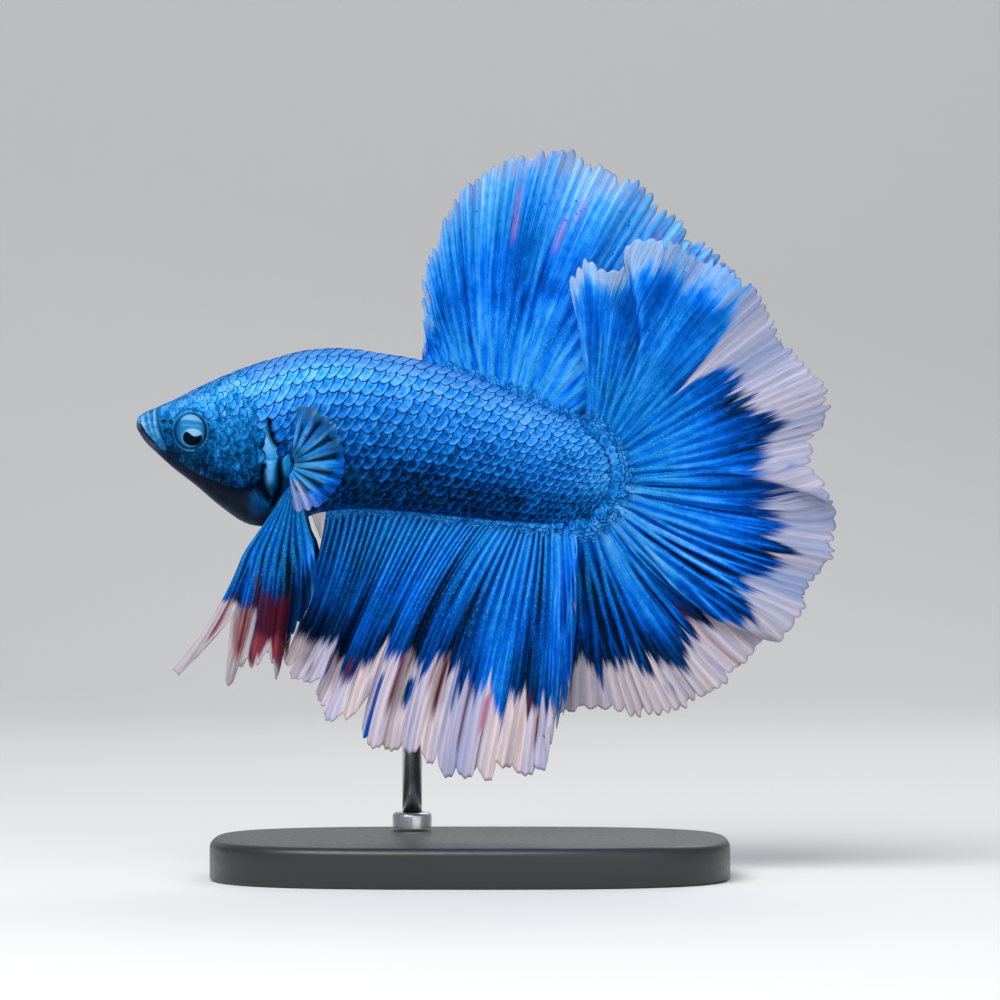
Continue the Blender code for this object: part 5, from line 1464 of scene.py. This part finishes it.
# ---- studio ---------------------------------------------------------------------------------
def place_object(name, data, where=(0.0, 0.0, 0.0), aim=None):
    obj = bpy.data.objects.new(name, data)
    bpy.context.scene.collection.objects.link(obj)
    obj.location = Vector(where) * MM
    if aim:
        obj.rotation_euler = Vector(np.subtract(aim, where) * MM).to_track_quat('-Z', 'Y').to_euler()
    return obj


def light(name, size, power, where, aim):
    data = bpy.data.lights.new(name, 'AREA')
    data.shape = 'RECTANGLE'
    data.size, data.size_y = size[0] * MM, size[1] * MM
    data.energy = power
    return place_object(name, data, where, aim)


def studio():
    s = Shader("studio_paper")
    white = (0.80, 0.80, 0.79)
    s.surface(s.mix(s.noise(6.0), white, tuple(v * 0.985 for v in white)), 0.85, specular=0.3)
    # floor that rises smoothly into a backdrop
    bend = np.linspace(0.1, 1.0, 16) * math.pi / 2
    ys = np.concatenate([np.linspace(-900, 380, 9), 380 + 260 * np.sin(bend), [640.0]])
    zs = np.concatenate([np.zeros(9), 260 * (1 - np.cos(bend)), [1500.0]])
    verts = [(x * MM, y * MM, z * MM) for y, z in zip(ys, zs) for x in (-1600.0, 1600.0)]
    mesh = bpy.data.meshes.new("studio_floor")
    mesh.from_pydata(verts, [], [(k, k + 1, k + 3, k + 2) for k in range(0, len(verts) - 2, 2)])
    mesh.polygons.foreach_set("use_smooth", [True] * len(mesh.polygons))
    mesh.materials.append(s.mat)
    place_object("studio_floor", mesh)
    light("key", (420, 300), 3.1, (-160, -330, 420), (0, 0, 38))
    light("fill", (500, 400), 0.62, (260, -480, 160), (5, 0, 36))
    light("back", (300, 200), 0.5, (120, 330, 330), (5, 0, 45))
    scene = bpy.context.scene
    scene.world = bpy.data.worlds.new("studio_world")
    scene.world.use_nodes = True
    sky = scene.world.node_tree.nodes["Background"].inputs
    sky[0].default_value = (0.86, 0.90, 1.0, 1.0)
    sky[1].default_value = 0.30
    scene.view_settings.view_transform = 'Standard'
    scene.view_settings.look = 'None'
    cam = bpy.data.cameras.new("camera")
    cam.sensor_width, cam.lens = 36.0, 180.0
    cam.clip_start, cam.clip_end = 0.01, 10.0
    scene.camera = place_object("camera", cam, (3.0, -501.5, 37.8))
    scene.camera.rotation_euler = (math.pi / 2, 0.0, 0.0)


# ---- build ----------------------------------------------------------------------------------
add_skin(skin_material())
scales = scale_material()
rng = np.random.default_rng(11)
trunk, head_small = trunk_spots(rng), head_spots(rng)
for side, word in SIDES:
    add_scales("scales_trunk_" + word, side, trunk, scales)
    add_scales("scales_head_" + word, side, head_small, scales, shear=0.0)
fins = fin_material("fin_membrane", (0.225, 0.290, 0.480), (0.620, 0.515, 0.510), (0.195, 0.225, 0.370),
                    (0.125, 0.145, 0.275), (0.500, 0.505, 0.590), gather=0.50)
caudal_fin(fins)
dorsal_fin(fins)
anal_fin(fin_material("anal_membrane", (0.400, 0.430, 0.660), (0.800, 0.630, 0.580), (0.200, 0.210, 0.360),
                      (0.160, 0.170, 0.310), (0.800, 0.760, 0.820), (0.420, 0.090, 0.200),
                      (0.130, 0.010, 0.012), 0.40))
anal_strands(fins)
vent_flap(fin_material("vent_membrane", (0.700, 0.700, 0.760), (0.860, 0.780, 0.770),
                       (0.500, 0.480, 0.520), (0.450, 0.440, 0.480), (0.900, 0.880, 0.880)))
base_scales("scales_tail_base", "fin_tail", scales, rng, (1.1, 2.3), 0.80, 0.045, 0.60)
base_scales("scales_back_base", "fin_back", scales, rng, (0.3, 1.3), 0.74, 0.045, 0.85, first=0.10)
base_scales("scales_anal_base", "fin_anal", scales, rng, (0.4, 1.4), 0.72, 0.035, 0.90)
eyes = eye_material()
pelvics = fin_material("pelvic_membrane", (0.36, 0.35, 0.38), (0.46, 0.38, 0.38),
                       pink=(0.290, 0.045, 0.048), rust=(0.075, 0.003, 0.008), gather=0.35)
pectorals = fin_material("pectoral_membrane", (0.026, 0.180, 0.370), (0.420, 0.370, 0.430),
                         (0.004, 0.060, 0.160), (0.003, 0.045, 0.130), (0.140, 0.400, 0.620))
for side, word in SIDES:
    pelvic_fin(pelvics, side, word)
    pectoral_fin(pectorals, side, word)
    add_eye(eyes, side, word)
stand()
studio()
